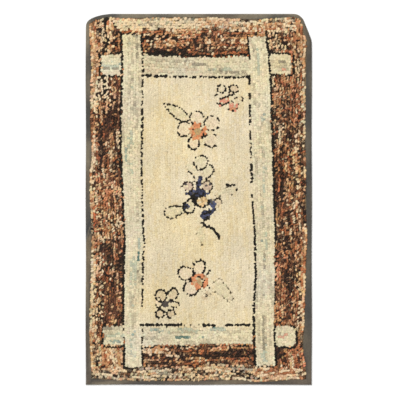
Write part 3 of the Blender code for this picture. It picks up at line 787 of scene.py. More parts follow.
def loop_forms():
    """Every loop's points, set at its slant, and its own coordinates for the cloth's weave, with a height that sets its
    painted crevice shade.
    """
    upright = np.abs(np.sin(WAY)) > 0.7
    held = GROUP == "outline"
    border = np.char.startswith(GROUP, "border")
    slant = np.where(upright, math.radians(64), math.radians(30))
    swirl = np.where(border, 0.5, 0.2) * drift(X, Y, 40, 31)
    turn = slant + swirl + rng.normal(0, np.where(border, 0.36, 0.34), COUNT)
    turn = np.where(held, WAY + np.where(upright, -1.1, 0.7) + rng.normal(0, 0.35, COUNT), turn)
    turn = np.where(GROUP == "flower", WAY + rng.normal(0, 0.35, COUNT), turn)
    thin = held & (SIZE < 1.15)
    base_long = np.select([thin, held, border], [4.2, 4.7, 5.5], 5.6)
    base_wide = np.select([thin, held, border], [2.8, 3.2, 3.4], 5.0)
    base_wide = np.where(border & (CREVICE_SHADE > 0.5), 4.0, base_wide)
    half_long = SIZE * base_long * rng.normal(1, 0.06, COUNT)
    half_wide = SIZE * base_wide * rng.normal(1, 0.07, COUNT)
    inner, nx, ny = wall_room(X, Y)
    shoulder = np.clip(1 - inner / 9, 0, 1) * 0.8
    top = pile_top(X, Y) - shoulder + rng.normal(-0.25, np.where(border, 0.36, 0.15), COUNT)
    top = np.where(held, top + 0.35, top)
    top = np.clip(top, 7.6, PILE_TOP + 0.35)
    angle = 2 * math.pi * (np.arange(SIDES) + 0.5) / SIDES
    power = rng.uniform(2.0, 2.6, COUNT)[:, None]
    rounding = (np.abs(np.cos(angle)) ** power + np.abs(np.sin(angle)) ** power) ** (-1 / power)
    wobble = 1 + sum(
        rng.normal(0, 0.035, (COUNT, 1)) * np.cos(k * angle + rng.uniform(0, 6.28, (COUNT, 1))) for k in (1, 2, 3, 4)
    )
    lean_u, lean_v = rng.normal(0, 0.7, (COUNT, 1)), rng.normal(0, 0.55, (COUNT, 1))
    tilt_u, tilt_v = rng.normal(0, 0.035, (COUNT, 1)), rng.normal(0, 0.045, (COUNT, 1))
    tall = (top - ROOT)[:, None]
    us, vs, hs = [], [], []
    for scale, height in RINGS:
        u = half_long[:, None] * scale * rounding * wobble * np.cos(angle)
        v = half_wide[:, None] * scale * rounding * wobble * np.sin(angle)
        h = height * (1 - 0.07 * np.cos(angle) ** 2 * (height > 0.7)) * np.ones_like(u)
        if height > 0.6:
            h = h + (tilt_u * np.cos(angle) + tilt_v * np.sin(angle)) * 0.7 + rng.normal(0, 0.01, u.shape)
        us.append(u + lean_u * height ** 2)
        vs.append(v + lean_v * height ** 2)
        hs.append(np.minimum(h, 1.02))
    us.append(lean_u)
    vs.append(lean_v)
    hs.append(np.ones((COUNT, 1)) + rng.normal(0, 0.012, (COUNT, 1)))
    u, v, h = np.hstack(us), np.hstack(vs), np.hstack(hs)
    # The painted crevice shade reads this height. The ends of the border's loops lie against the next loop of their
    # strip, out of its shadow, so their height is raised and they get less painted shade
    ends = np.append(np.tile(np.abs(np.cos(angle)) ** 2, len(RINGS)), 0.0)
    lit = np.where(border[:, None], h + (1 - np.minimum(h, 1)) * 0.75 * ends * (h > 0.5), h)
    c, s = np.cos(turn)[:, None], np.sin(turn)[:, None]
    x = X[:, None] + c * u - s * v
    y = Y[:, None] + s * u + c * v
    z = ROOT + tall * h
    return np.stack([x, y, z], 2), np.stack([u, v, lit], 2)


def solid_faces(rings, sides):
    """Corners of one loop's faces: bands, the fan at its top and the flat cap at its root."""
    corners, sizes = [], []
    for k in range(rings - 1):
        for i in range(sides):
            j = (i + 1) % sides
            corners += [k * sides + i, k * sides + j, (k + 1) * sides + j, (k + 1) * sides + i]
            sizes.append(4)
    tip = rings * sides
    for i in range(sides):
        corners += [(rings - 1) * sides + i, (rings - 1) * sides + (i + 1) % sides, tip]
        sizes.append(3)
    corners += list(range(sides))[::-1]
    sizes.append(sides)
    return np.array(corners), np.array(sizes)


def cell_map(count, rings, sides):
    """Map places for each corner: every loop has its own square, and its cap a small patch in the corner."""
    reach = np.linspace(0.44, 0.0, rings + 1)[:-1]
    angle = 2 * math.pi * (np.arange(sides) + 0.5) / sides
    spots = [(0.48 + r * math.cos(a), 0.52 + r * math.sin(a)) for r in reach for a in angle]
    spots.append((0.48, 0.52))
    spots = np.array(spots)
    corners, _ = solid_faces(rings, sides)
    uv = spots[corners]
    cap = [(0.93 + 0.045 * math.cos(a), 0.07 + 0.045 * math.sin(a)) for a in angle]
    uv[-sides:] = np.array(cap)[::-1]
    wide = math.ceil(math.sqrt(count))
    cell = np.stack([np.arange(count) % wide, np.arange(count) // wide], 1)
    return ((uv[None] + cell[:, None]) / wide).reshape(-1, 2)


def mesh_object(name, points, corners, sizes, smooth=True):
    """A mesh from arrays: points in mm, each face's corners one after another, and each face's size."""
    mesh = bpy.data.meshes.new(name)
    mesh.vertices.add(len(points))
    mesh.vertices.foreach_set("co", (np.asarray(points) * MM).astype(np.float32).ravel())
    mesh.loops.add(len(corners))
    mesh.loops.foreach_set("vertex_index", np.asarray(corners, np.int32))
    mesh.polygons.add(len(sizes))
    starts = np.concatenate([[0], np.cumsum(sizes)[:-1]])
    mesh.polygons.foreach_set("loop_start", starts.astype(np.int32))
    mesh.update(calc_edges=True)
    mesh.polygons.foreach_set("use_smooth", np.full(len(sizes), smooth))
    mesh.validate()
    obj = bpy.data.objects.new(name, mesh)
    bpy.context.scene.collection.objects.link(obj)
    return obj


def put(obj, name, kind, values):
    """A value for each point of the mesh, which its material reads."""
    layer = obj.data.attributes.new(name, kind, "POINT")
    field = "color" if kind == "FLOAT_COLOR" else "vector"
    layer.data.foreach_set(field, np.asarray(values, np.float32).ravel())


def put_map(obj, uv):
    layer = obj.data.uv_layers.new(name="OFBake")
    layer.uv.foreach_set("vector", np.asarray(uv, np.float32).ravel())


def finish_piece(obj, material):
    obj.data.materials.append(material)
    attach(obj, "root")
    return obj


def make_pile(name, chosen, forms, locals_, material):
    """One piece of pile: the loops that chosen picks out."""
    index = np.flatnonzero(chosen)
    corners, sizes = solid_faces(len(RINGS), SIDES)
    per = len(RINGS) * SIDES + 1
    all_corners = (corners[None] + per * np.arange(len(index))[:, None]).ravel()
    obj = mesh_object(name, forms[index].reshape(-1, 3), all_corners, np.tile(sizes, len(index)))
    put_map(obj, cell_map(len(index), len(RINGS), SIDES))
    own = locals_[index].copy()
    own[:, :, 0] += (index * 13.7 % 500)[:, None]
    own[:, :, 1] += (index * 7.9 % 500)[:, None]
    put(obj, "loop_at", "FLOAT_VECTOR", own.reshape(-1, 3))
    # The rag colour's alpha carries how bright the painted crevice shade gets
    rag = np.concatenate([RAG[index], CREVICE_SHADE[index, None]], 1)
    fleck = np.concatenate([FLECK[index], AMOUNT[index, None]], 1)
    put(obj, "rag", "FLOAT_COLOR", np.repeat(rag, per, 0))
    put(obj, "fleck", "FLOAT_COLOR", np.repeat(fleck, per, 0))
    return finish_piece(obj, material)


# Node helpers

def new_material(name):
    material = bpy.data.materials.new(name)
    material.use_nodes = True
    tree = material.node_tree
    tree.nodes.clear()
    out = tree.nodes.new("ShaderNodeOutputMaterial")
    shader = tree.nodes.new("ShaderNodeBsdfPrincipled")
    tree.links.new(shader.outputs["BSDF"], out.inputs["Surface"])
    return material, tree, shader


def node(tree, kind, **inputs):
    made = tree.nodes.new(kind)
    for key, value in inputs.items():
        if hasattr(made, key) and key not in made.inputs:
            setattr(made, key, value)
            continue
        socket = made.inputs[int(key[1:])] if key[0] == "i" and key[1:].isdigit() else made.inputs[key]
        if isinstance(value, bpy.types.NodeSocket):
            tree.links.new(value, socket)
        else:
            socket.default_value = value
    return made


def calc(tree, operation, a, b=0.0, clamp=False):
    made = node(tree, "ShaderNodeMath", operation=operation, i0=a, i1=b)
    made.use_clamp = clamp
    return made.outputs[0]


def spread(tree, value, low, high, to_low, to_high):
    made = tree.nodes.new("ShaderNodeMapRange")
    for socket, given in zip(made.inputs, (value, low, high, to_low, to_high)):
        if isinstance(given, bpy.types.NodeSocket):
            tree.links.new(given, socket)
        else:
            socket.default_value = given
    return made.outputs[0]


def blend(tree, mode, share, a, b):
    made = tree.nodes.new("ShaderNodeMix")
    made.data_type = "RGBA"
    made.blend_type = mode
    for socket, given in ((made.inputs[0], share), (made.inputs[6], a), (made.inputs[7], b)):
        if isinstance(given, bpy.types.NodeSocket):
            tree.links.new(given, socket)
        else:
            socket.default_value = given
    return made.outputs[2]


def noise(tree, where, scale, detail=3.0, rough=0.55):
    made = tree.nodes.new("ShaderNodeTexNoise")
    tree.links.new(where, made.inputs["Vector"])
    made.inputs["Scale"].default_value = scale
    made.inputs["Detail"].default_value = detail
    made.inputs["Roughness"].default_value = rough
    return made.outputs[0]


def grey(tree, value):
    made = tree.nodes.new("ShaderNodeCombineColor")
    for socket in made.inputs[:3]:
        tree.links.new(value, socket)
    return made.outputs[0]


def bump(tree, height, distance, below=None, strength=1.0):
    made = tree.nodes.new("ShaderNodeBump")
    made.inputs["Strength"].default_value = strength
    made.inputs["Distance"].default_value = distance * MM
    tree.links.new(height, made.inputs["Height"])
    if below is not None:
        tree.links.new(below, made.inputs["Normal"])
    return made.outputs[0]


def pile_material(name, thread, crease, fuzz, sheen, rough, deep=0.62):
    """Rag cloth: weave and creases that follow the strip, flecks, painted shade in the creases and between the loops,
    and fuzz.
    """
    material, tree, shader = new_material(name)
    rag = node(tree, "ShaderNodeAttribute", attribute_name="rag")
    fleck = node(tree, "ShaderNodeAttribute", attribute_name="fleck")
    at = node(tree, "ShaderNodeAttribute", attribute_name="loop_at").outputs["Vector"]
    place = tree.nodes.new("ShaderNodeTexCoord").outputs["Object"]
    parts = node(tree, "ShaderNodeSeparateXYZ", Vector=at)
    u, v, h = parts.outputs
    warp = calc(tree, "MULTIPLY", noise(tree, place, 320, 2), 2.2)
    su = calc(tree, "SINE", calc(tree, "MULTIPLY", calc(tree, "ADD", u, warp), 2 * math.pi / thread))
    sv = calc(tree, "SINE", calc(tree, "MULTIPLY", calc(tree, "ADD", v, warp), 2 * math.pi / thread))
    weave = calc(tree, "MULTIPLY", su, sv)
    stretched = node(tree, "ShaderNodeCombineXYZ", X=calc(tree, "MULTIPLY", u, 0.09), Y=calc(tree, "MULTIPLY", v, 0.42))
    streaked = node(tree, "ShaderNodeCombineXYZ", X=calc(tree, "MULTIPLY", u, 0.15), Y=calc(tree, "MULTIPLY", v, 0.42))
    folds = noise(tree, stretched.outputs[0], 1.0, 2.0, 0.5)
    hairs = noise(tree, place, 2600, 3, 0.7)
    specks = spread(tree, noise(tree, streaked.outputs[0], 1.0, 3.0, 0.6), 0.49, 0.56, 0.0, 1.0)
    share = calc(tree, "MULTIPLY", specks, fleck.outputs["Alpha"])
    colour = blend(tree, "MIX", share, rag.outputs["Color"], fleck.outputs["Color"])
    # Painted shade: the colour darkens down each loop's sides, towards the crevices between loops, to the brightness
    # carried in the rag's alpha
    painted_valley_shade = spread(tree, h, deep, deep + 0.35 * (1 - deep) / 0.38, rag.outputs["Alpha"], 1.0)
    # Painted shade in the cloth's creases, from the same folds that bump it
    painted_fold_shade = spread(tree, folds, 0.34, 0.6, 0.84, 1.05)
    threads = spread(tree, weave, -1.0, 1.0, 0.95, 1.04)
    fluff = spread(tree, hairs, 0.3, 0.7, 0.95, 1.05)
    shade = calc(tree, "MULTIPLY", calc(tree, "MULTIPLY", painted_valley_shade, painted_fold_shade), calc(tree, "MULTIPLY", threads, fluff))
    colour = blend(tree, "MULTIPLY", 1.0, colour, grey(tree, shade))
    tree.links.new(colour, shader.inputs["Base Color"])
    tree.links.new(spread(tree, folds, 0.3, 0.7, rough - 0.08, rough + 0.05), shader.inputs["Roughness"])
    normal = bump(tree, folds, crease)
    normal = bump(tree, weave, 0.10, normal)
    normal = bump(tree, hairs, fuzz, normal)
    tree.links.new(normal, shader.inputs["Normal"])
    shader.inputs["Specular IOR Level"].default_value = 0.2
    shader.inputs["Sheen Weight"].default_value = sheen
    shader.inputs["Sheen Roughness"].default_value = 0.5
    return material


COTTON = pile_material("cotton_rag", 0.85, 0.6, 0.14, 0.10, 0.88)
WOOL = pile_material("wool_rag", 1.15, 1.3, 0.24, 0.04, 0.92, 0.78)
INK = pile_material("black_rag", 1.0, 1.2, 0.22, 0.05, 0.90)

FORMS, LOCALS = loop_forms()
BANDS = np.char.startswith(GROUP, "rail")
BARS = np.char.startswith(GROUP, "bar") | np.char.startswith(GROUP, "stub")
PIECES = (
    ("pile_field_upper", (GROUP == "field") & (Y > 0), COTTON),
    ("pile_field_lower", (GROUP == "field") & (Y <= 0), COTTON),
    ("pile_long_bands", BANDS, COTTON),
    ("pile_cross_bands", BARS, COTTON),
    ("pile_flowers", GROUP == "flower", COTTON),
    ("pile_outlines", GROUP == "outline", INK),
    ("pile_border_left", GROUP == "border_left", WOOL),
    ("pile_border_right", GROUP == "border_right", WOOL),
    ("pile_border_top", GROUP == "border_top", WOOL),
    ("pile_border_bottom", GROUP == "border_bottom", WOOL),
)
pile = [make_pile(name, chosen, FORMS, LOCALS, material) for name, chosen, material in PIECES]


# The back of the loops: one short flat stitch under each

def make_back_stitches():
    sides = 6
    corners, sizes = solid_faces(1, sides)
    angle = 2 * math.pi * (np.arange(sides) + 0.5) / sides
    turn = WAY + rng.normal(0, 0.12, COUNT)
    u = rng.normal(3.9, 0.2, (COUNT, 1)) * np.cos(angle) * 1.1
    v = rng.normal(2.0, 0.15, (COUNT, 1)) * np.sin(angle) * 1.1
    u, v = np.hstack([u, np.zeros((COUNT, 1))]), np.hstack([v, np.zeros((COUNT, 1))])
    c, s = np.cos(turn)[:, None], np.sin(turn)[:, None]
    x, y = X[:, None] + c * u - s * v, Y[:, None] + s * u + c * v
    z = np.hstack([np.full((COUNT, sides), BACK), np.clip(rng.normal(0.14, 0.06, (COUNT, 1)), 0.02, 0.4)])
    inner, _, _ = wall_room(X, Y)
    index = np.flatnonzero(under_room(X, Y) > 5)
    points = np.stack([x, y, z], 2)[index]
    # The faces turn the other way round, because these stitches hang below the foundation
    flipped = np.concatenate([part[::-1] for part in np.split(corners, np.cumsum(sizes)[:-1])])
    all_corners = (flipped[None] + (sides + 1) * np.arange(len(index))[:, None]).ravel()
    obj = mesh_object("back_stitches", points.reshape(-1, 3), all_corners, np.tile(sizes, len(index)))
    uv = cell_map(len(index), 1, sides).reshape(len(index), len(corners), 2)
    parts = np.split(np.arange(len(corners)), np.cumsum(sizes)[:-1])
    put_map(obj, uv[:, np.concatenate([part[::-1] for part in parts])].reshape(-1, 2))
    own = np.stack([u, v, np.full_like(u, 1.0)], 2)[index]
    own[:, :, 0] += (index * 13.7 % 500)[:, None]
    put(obj, "loop_at", "FLOAT_VECTOR", own.reshape(-1, 3))
    rag = np.concatenate([RAG[index] * 0.92, CREVICE_SHADE[index, None]], 1)
    fleck = np.concatenate([FLECK[index], AMOUNT[index, None]], 1)
    put(obj, "rag", "FLOAT_COLOR", np.repeat(rag, sides + 1, 0))
    put(obj, "fleck", "FLOAT_COLOR", np.repeat(fleck, sides + 1, 0))
    return finish_piece(obj, COTTON)


def under_room(x, y):
    """Distance in from the tape's leg under the rug."""
    inner = np.minimum(WIDTH / 2 - np.abs(x), LENGTH / 2 - np.abs(y)) - UNDER_LEG
    corner_left = ((x + 305) + (500 - y)) / math.sqrt(2) - 33
    corner_right = ((305 - x) * 78 + (500 - y) * 25) / math.hypot(78, 25) - 40
    return np.minimum(inner, np.minimum(corner_left, corner_right))


# The foundation and the tape: sections swept round the outline

def sweep(name, edge, section, ends_closed, caps=False):
    """Sections, one for each station, joined into a closed band, or into a slab with flat caps."""
    rings = [section(i, station) for i, station in enumerate(edge)]
    points = np.array(rings, float)
    n, size = points.shape[:2]
    corners, sizes = [], []
    last = n if ends_closed else n - 1
    for r in range(last):
        s = (r + 1) % n
        for i in range(size if not caps else size - 1):
            j = (i + 1) % size
            corners += [r * size + i, s * size + i, s * size + j, r * size + j]
            sizes.append(4)
    if caps:
        corners += [r * size for r in range(n)][::-1] + [r * size + size - 1 for r in range(n)]
        sizes += [n, n]
    elif not ends_closed:
        half = size // 2
        for i in range(half - 1):
            j = size - 1 - i
            corners += [i, i + 1, j - 1, j]
            base = (n - 1) * size
            corners += [base + j, base + j - 1, base + i + 1, base + i]
            sizes += [4, 4]
    return points, np.array(corners), np.array(sizes)


def foundation_section(_, station):
    x, y, nx, ny, face = station
    middle = EDGE_THICK / 2
    low, high = TAPE_THICK + 0.4, EDGE_THICK - TAPE_THICK - 0.4
    radius = (high - low) / 2
    arc = [(middle - radius * math.sin(math.pi * i / 6), middle - radius * math.cos(math.pi * i / 6)) for i in range(7)]
    path = [(26, BACK), (20.5, BACK), (18.6, BACK + 0.15), (17.6, low)] + arc
    path += [(face + 4, high), (face + 9, 3.4), (face + 14, 2.8), (face + 20, 2.7)]
    return [(x + nx * d, y + ny * d, z) for d, z in path]


def make_foundation():
    edge = EDGE[:-1:3]
    points, corners, sizes = sweep("foundation", edge, foundation_section, True, caps=True)
    obj = mesh_object("foundation", points.reshape(-1, 3), corners, sizes)
    flat = points.reshape(-1, 3)
    uv_all = np.stack([(flat[:, 0] + 305) / 1250, (flat[:, 1] + 500) / 1010], 1)
    size = points.shape[1]
    side_uv = uv_all[corners].copy()
    # The top half of the skin has its own place on the map, beside the underside's
    faces = np.repeat(np.arange(len(sizes)), sizes)
    tall = np.bincount(faces, flat[corners, 2]) / sizes
    side_uv[tall[faces] > EDGE_THICK / 2, 0] += 0.5
    side_uv[faces == len(sizes) - 1, 0] = uv_all[corners[faces == len(sizes) - 1], 0] + 0.5
    put_map(obj, side_uv)
    obj.data.set_sharp_from_angle(angle=math.radians(50))
    return obj


def tape_path(face, pucker, lift):
    """The folded tape's section: outside from the leg under the rug to the face's edge, then back inside."""
    middle = EDGE_THICK / 2
    outer = [(middle - middle * math.sin(math.pi * i / 8), middle - middle * math.cos(math.pi * i / 8)) for i in range(9)]
    inner_radius = middle - TAPE_THICK
    inner = [(middle - inner_radius * math.sin(math.pi * i / 4), middle - inner_radius * math.cos(math.pi * i / 4)) for i in range(5)]
    edge = face - pucker
    reach = edge - middle
    top = EDGE_THICK
    path = [(UNDER_LEG, 0.75), (UNDER_LEG - 0.3, 0.4), (UNDER_LEG - 4.5, 0.0)] + outer
    path += [(middle + reach * 0.3, top + lift * 0.6), (middle + reach * 0.6, top + lift), (middle + reach * 0.85, top + lift * 0.5)]
    path += [(edge - 0.5, top - pucker * 0.3), (edge, top - 0.45)]
    path += [(edge, top - TAPE_THICK), (middle + reach * 0.5, top - TAPE_THICK)]
    path += inner[::-1] + [(UNDER_LEG * 0.6, TAPE_THICK), (UNDER_LEG, TAPE_THICK)]
    return path


def make_tape():
    rows = len(EDGE)
    run = np.concatenate([[0], np.cumsum(np.hypot(*np.diff(EDGE[:, :2], axis=0).T))])
    def section(i, station):
        x, y, nx, ny, face = station
        pucker = 0.5 * (i % 2) + 0.25 * math.sin(run[i] / 23)
        lift = 0.12 + 0.14 * math.sin(run[i] / 17) + 0.12 * math.sin(run[i] / 7.3 + 1)
        from_end = min(run[i], run[-1] - run[i])
        shear = JOIN_RISE * max(0.0, 1 - from_end / 60)
        found = []
        for d, z in tape_path(face, pucker, lift):
            share = min(1.0, max(0.0, d / face))
            back = 0.5 if i == rows - 1 else 0.0
            found.append((x + nx * d, y + ny * d + shear * share + back, z))
        return found

    points, corners, sizes = sweep("tape", EDGE, section, False)
    obj = mesh_object("binding_tape", points.reshape(-1, 3), corners, sizes)
    n, size = points.shape[:2]
    path = points[:, :, :]
    steps = np.linalg.norm(np.diff(path, axis=1), axis=2)
    wide = np.concatenate([np.zeros((n, 1)), np.cumsum(steps, 1)], 1)
    own = np.stack([np.repeat(run[:, None], size, 1), wide, np.zeros_like(wide)], 2)
    put(obj, "cloth_at", "FLOAT_VECTOR", own.reshape(-1, 3))
    flat = points.reshape(-1, 3)
    put(obj, "tint", "FLOAT_COLOR", np.concatenate([tape_colours(flat, own.reshape(-1, 3)), np.ones((len(flat), 1))], 1))
    obj.data.set_sharp_from_angle(angle=math.radians(60))
    put_map(obj, tape_map(n, size, corners, sizes, wide, run))
    return obj


def tape_map(n, size, corners, sizes, wide, run):
    """The tape's skin on the map: its run cut into folds that lie one above another."""
    folds = 16
    per = math.ceil((n - 1) / folds)
    high = wide.max() * 1.12
    ring = np.array(corners) // size
    place = np.array(corners) % size
    faces = np.repeat(np.arange(len(sizes)), sizes)
    first = np.minimum.reduceat(ring, np.concatenate([[0], np.cumsum(sizes)[:-1]]))
    fold = np.minimum(first // per, folds - 1)[faces]
    start = run[np.minimum(fold * per, n - 1)]
    length = max(run[min((k + 1) * per, n - 1)] - run[k * per] for k in range(folds))
    across_ = wide[ring, place]
    # The last edge of each section runs back to its first point
    closes = np.zeros(len(corners), bool)
    starts = np.concatenate([[0], np.cumsum(sizes)[:-1]])
    for s, k in zip(starts, sizes):
        if k == 4 and set(place[s:s + 4]) == {0, size - 1}:
            closes[s:s + 4] = place[s:s + 4] == 0
    across_ = np.where(closes, wide[ring, size - 1] + 1.0, across_)
    u = (run[ring] - start) / length * 0.96 + 0.02
    v = (fold + 0.04 + 0.9 * across_ / high) / folds
    uv = np.stack([u, v], 1)
    ends = sizes == 4
    caps = np.arange(len(sizes)) >= (n - 1) * size
    chosen = caps[faces]
    count = int(chosen.sum())
    if count:
        base = np.stack([0.985 + 0.01 * (np.arange(count) % 4 >= 2), 0.02 + 0.9 * (np.arange(count) // 4 + 0.6 * np.isin(np.arange(count) % 4, (1, 2))) / (count / 4)], 1)
        uv[chosen] = base
    return uv


def tape_colours(p, own):
    """Dark grey-brown tape, faded in places, greener below the join and nearly black just above it."""
    x, y, z = p.T
    base = np.tile(linear((83, 77, 68)), (len(p), 1))

    def lay(mask, rgb):
        nonlocal base
        base = base + (linear(rgb) - base) * np.clip(mask, 0, 1)[:, None]

    lay((y - 440) / 60 * (z > 3), (106, 99, 85))
    lay((x - 270) / 20, (74, 70, 63))
    lay((-420 - y) / 60, (88, 79, 69))
    on_left = np.clip((-270 - x) / 20, 0, 1)
    lay(on_left * np.clip((-84 - y) / 14, 0, 1) * np.clip((y + 330) / 60, 0, 1), (94, 86, 74))
    up = y - (JOIN_LOW + np.clip((x + 305) / 15, 0, 1) * JOIN_RISE)
    lay(on_left * np.clip(up / 2, 0, 1) * np.clip((42 - up) / 14, 0, 1), (44, 45, 52))
    lay(on_left * np.clip(up / 2, 0, 1) * np.clip((150 - up) / 60, 0, 1) * 0.5, (72, 70, 66))
    patch = drift(own[:, 0] * 1.0, own[:, 1] * 2.0, 90, 21)
    lay(0.65 * np.clip(patch, 0, 1) * np.where(x > 250, 0.4, 1), (122, 112, 93))
    lay(0.65 * np.clip(-patch, 0, 1), (60, 60, 58))
    brown = drift(own[:, 0], own[:, 1], 210, 23)
    lay(0.5 * np.clip(brown - 0.3, 0, 1) * np.where(x > 250, 0.3, 1), (118, 98, 70))
    return base


def tape_material():
    material, tree, shader = new_material("binding_cotton")
    tint = node(tree, "ShaderNodeAttribute", attribute_name="tint")
    at = node(tree, "ShaderNodeAttribute", attribute_name="cloth_at").outputs["Vector"]
    place = tree.nodes.new("ShaderNodeTexCoord").outputs["Object"]
    parts = node(tree, "ShaderNodeSeparateXYZ", Vector=at)
    along, over, _ = parts.outputs
    warp = calc(tree, "MULTIPLY", noise(tree, place, 160, 2), 1.6)
    diagonal = calc(tree, "ADD", calc(tree, "ADD", along, over), warp)
    rib = calc(tree, "SINE", calc(tree, "MULTIPLY", diagonal, 2 * math.pi / 1.5))
    yarn = calc(tree, "SINE", calc(tree, "MULTIPLY", calc(tree, "SUBTRACT", along, over), 2 * math.pi / 0.75))
    weave = calc(tree, "ADD", rib, calc(tree, "MULTIPLY", yarn, 0.4))
    cloud = noise(tree, place, 42, 4, 0.6)
    fine = noise(tree, place, 260, 4, 0.65)
    lint = noise(tree, place, 1500, 3, 0.7)
    shade = calc(tree, "MULTIPLY", spread(tree, cloud, 0.3, 0.7, 0.84, 1.16), spread(tree, fine, 0.3, 0.7, 0.8, 1.2))
    shade = calc(tree, "MULTIPLY", shade, spread(tree, weave, -1.4, 1.4, 0.92, 1.06))
    shade = calc(tree, "MULTIPLY", shade, spread(tree, lint, 0.3, 0.75, 0.94, 1.1))
    colour = blend(tree, "MULTIPLY", 1.0, tint.outputs["Color"], grey(tree, shade))
    tree.links.new(colour, shader.inputs["Base Color"])
    tree.links.new(spread(tree, cloud, 0.3, 0.7, 0.80, 0.94), shader.inputs["Roughness"])
    normal = bump(tree, fine, 0.5)
    normal = bump(tree, weave, 0.07, normal)
    normal = bump(tree, lint, 0.08, normal)
    tree.links.new(normal, shader.inputs["Normal"])
    shader.inputs["Specular IOR Level"].default_value = 0.25
    shader.inputs["Sheen Weight"].default_value = 0.12
    shader.inputs["Sheen Roughness"].default_value = 0.5
    return material


def burlap_material():
    material, tree, shader = new_material("burlap")
    place = tree.nodes.new("ShaderNodeTexCoord").outputs["Object"]
    parts = node(tree, "ShaderNodeSeparateXYZ", Vector=place)
    x, y, _ = parts.outputs
    warp = calc(tree, "MULTIPLY", noise(tree, place, 60, 3), 0.0016)
    turns = 2 * math.pi / 0.0019
    sx = calc(tree, "SINE", calc(tree, "MULTIPLY", calc(tree, "ADD", x, warp), turns))
    sy = calc(tree, "SINE", calc(tree, "MULTIPLY", calc(tree, "ADD", y, warp), turns))
    over = calc(tree, "SINE", calc(tree, "MULTIPLY", calc(tree, "ADD", x, y), turns / 2))
    threads = calc(tree, "MAXIMUM", calc(tree, "ADD", sx, calc(tree, "MULTIPLY", over, 0.4)), calc(tree, "SUBTRACT", sy, calc(tree, "MULTIPLY", over, 0.4)))
    fibre = noise(tree, place, 900, 4, 0.7)
    cloud = noise(tree, place, 14, 4, 0.6)
    shade = calc(tree, "MULTIPLY", spread(tree, threads, -0.4, 1.2, 0.5, 1.05), spread(tree, fibre, 0.3, 0.7, 0.85, 1.12))
    base = blend(tree, "MIX", spread(tree, cloud, 0.35, 0.65, 0.0, 1.0), (0.36, 0.25, 0.13, 1), (0.27, 0.19, 0.11, 1))
    tree.links.new(blend(tree, "MULTIPLY", 1.0, base, grey(tree, shade)), shader.inputs["Base Color"])
    tree.links.new(spread(tree, fibre, 0.3, 0.7, 0.82, 0.97), shader.inputs["Roughness"])
    normal = bump(tree, threads, 0.35)
    tree.links.new(bump(tree, fibre, 0.15, normal), shader.inputs["Normal"])
    shader.inputs["Specular IOR Level"].default_value = 0.2
    return material


def thread_material():
    material, tree, shader = new_material("sewing_thread")
    place = tree.nodes.new("ShaderNodeTexCoord").outputs["Object"]
    cloud = noise(tree, place, 220, 3)
    twist = noise(tree, place, 2400, 2)
    colour = blend(tree, "MIX", spread(tree, cloud, 0.35, 0.65, 0.0, 1.0), (0.10, 0.085, 0.065, 1), (0.19, 0.165, 0.13, 1))
    tree.links.new(colour, shader.inputs["Base Color"])
    tree.links.new(spread(tree, twist, 0.3, 0.7, 0.6, 0.85), shader.inputs["Roughness"])
    tree.links.new(bump(tree, twist, 0.12), shader.inputs["Normal"])
    return material


def make_sewing():
    """Slanted slip stitches: one at each pucker of the tape's face, and along its leg under the rug."""
    ends = []
    for i in range(3, len(EDGE) - 3, 2):
        x, y, nx, ny, face = EDGE[i]
        tx, ty = ny, -nx
        size = math.hypot(nx, ny)
        tx, ty = tx / size, ty / size
        slant = rng.normal(1.5, 0.3)
        a, b = face - 2.3, face + 0.9
        ends.append(((x + nx * a - tx * slant, y + ny * a - ty * slant, EDGE_THICK + 0.1),
                     (x + nx * (a + b) / 2, y + ny * (a + b) / 2, EDGE_THICK + 0.42),
                     (x + nx * b + tx * slant, y + ny * b + ty * slant, EDGE_THICK - 0.5)))
        if i % 4 == 3:
            a, b = UNDER_LEG - 2.2, UNDER_LEG + 1.8
            ends.append(((x + nx * a - tx * slant, y + ny * a - ty * slant, 0.24),
                         (x + nx * (a + b) / 2, y + ny * (a + b) / 2, 0.25),
                         (x + nx * b + tx * slant, y + ny * b + ty * slant, 0.9)))
    sides = 5
    points, corners, sizes = [], [], []
    for path in ends:
        p = np.array(path)
        base = len(points)
        for k in range(3):
            way = p[min(k + 1, 2)] - p[max(k - 1, 0)]
            way /= np.linalg.norm(way)
            side = np.cross(way, (0, 0, 1))
            side /= np.linalg.norm(side)
            up = np.cross(side, way)
            radius = 0.17 if k != 1 else 0.2
            for s in range(sides):
                t = 2 * math.pi * s / sides
                points.append(p[k] + radius * (math.cos(t) * side + math.sin(t) * up))
        for k in range(2):
            for s in range(sides):
                q = (s + 1) % sides
                corners += [base + k * sides + s, base + (k + 1) * sides + s, base + (k + 1) * sides + q, base + k * sides + q]
                sizes.append(4)
        corners += [base + s for s in range(sides)] + [base + 2 * sides + s for s in range(sides)][::-1]
        sizes += [sides, sides]
    return mesh_object("slip_stitches", np.array(points), np.array(corners), np.array(sizes))


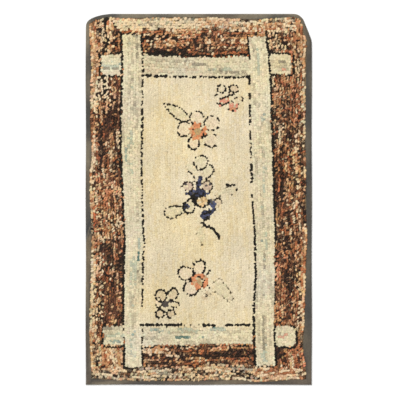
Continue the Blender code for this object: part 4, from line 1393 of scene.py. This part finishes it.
back = make_back_stitches()
foundation = finish_piece(make_foundation(), burlap_material())
tape = finish_piece(make_tape(), tape_material())
sewing = finish_piece(make_sewing(), thread_material())

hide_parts("hooked_cloth")
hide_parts("edge_binding")


# The stage: a pale floor, soft light and the camera straight above

def make_floor():
    mesh = bpy.data.meshes.new("floor")
    size = 6.0
    mesh.from_pydata([(-size, -size, 0), (size, -size, 0), (size, size, 0), (-size, size, 0)], [], [(0, 1, 2, 3)])
    floor = bpy.data.objects.new("floor", mesh)
    bpy.context.scene.collection.objects.link(floor)
    material, tree, shader = new_material("floor")
    shader.inputs["Base Color"].default_value = (0.93, 0.93, 0.93, 1)
    shader.inputs["Roughness"].default_value = 0.9
    shader.inputs["Specular IOR Level"].default_value = 0.1
    floor.data.materials.append(material)


def add_light(name, size, power, place, aim=(0, 0, 0)):
    lamp = bpy.data.lights.new(name, "AREA")
    lamp.shape = "DISK"
    lamp.size = size
    lamp.energy = power
    obj = bpy.data.objects.new(name, lamp)
    obj.location = place
    obj.rotation_euler = (Vector(aim) - Vector(place)).to_track_quat("-Z", "Y").to_euler()
    bpy.context.scene.collection.objects.link(obj)


make_floor()
add_light("key", 3.2, 248, (-2.6, 3.0, 5.2))
add_light("fill", 5.2, 104, (3.6, -2.4, 5.6))

world = bpy.data.worlds.new("studio")
bpy.context.scene.world = world
world.use_nodes = True
sky = world.node_tree.nodes["Background"]
sky.inputs["Color"].default_value = (1.0, 0.995, 0.985, 1)
sky.inputs["Strength"].default_value = 0.75

# 400 pixels span 1.0774 m of the pile's top, and the rug's middle lies 1.21 pixels left of the frame's
DISTANCE = 9.0
SPAN = 1.0774
lens = bpy.data.cameras.new("camera")
lens.sensor_width = 36
lens.lens = 36 * DISTANCE / SPAN
camera = bpy.data.objects.new("camera", lens)
camera.location = (1.21 * SPAN / 400, -0.58 * SPAN / 400, DISTANCE + PILE_TOP * MM)
camera.rotation_euler = (0, 0, 0)
bpy.context.scene.collection.objects.link(camera)
bpy.context.scene.camera = camera
bpy.context.scene.view_settings.view_transform = "Standard"
bpy.context.scene.view_settings.look = "None"
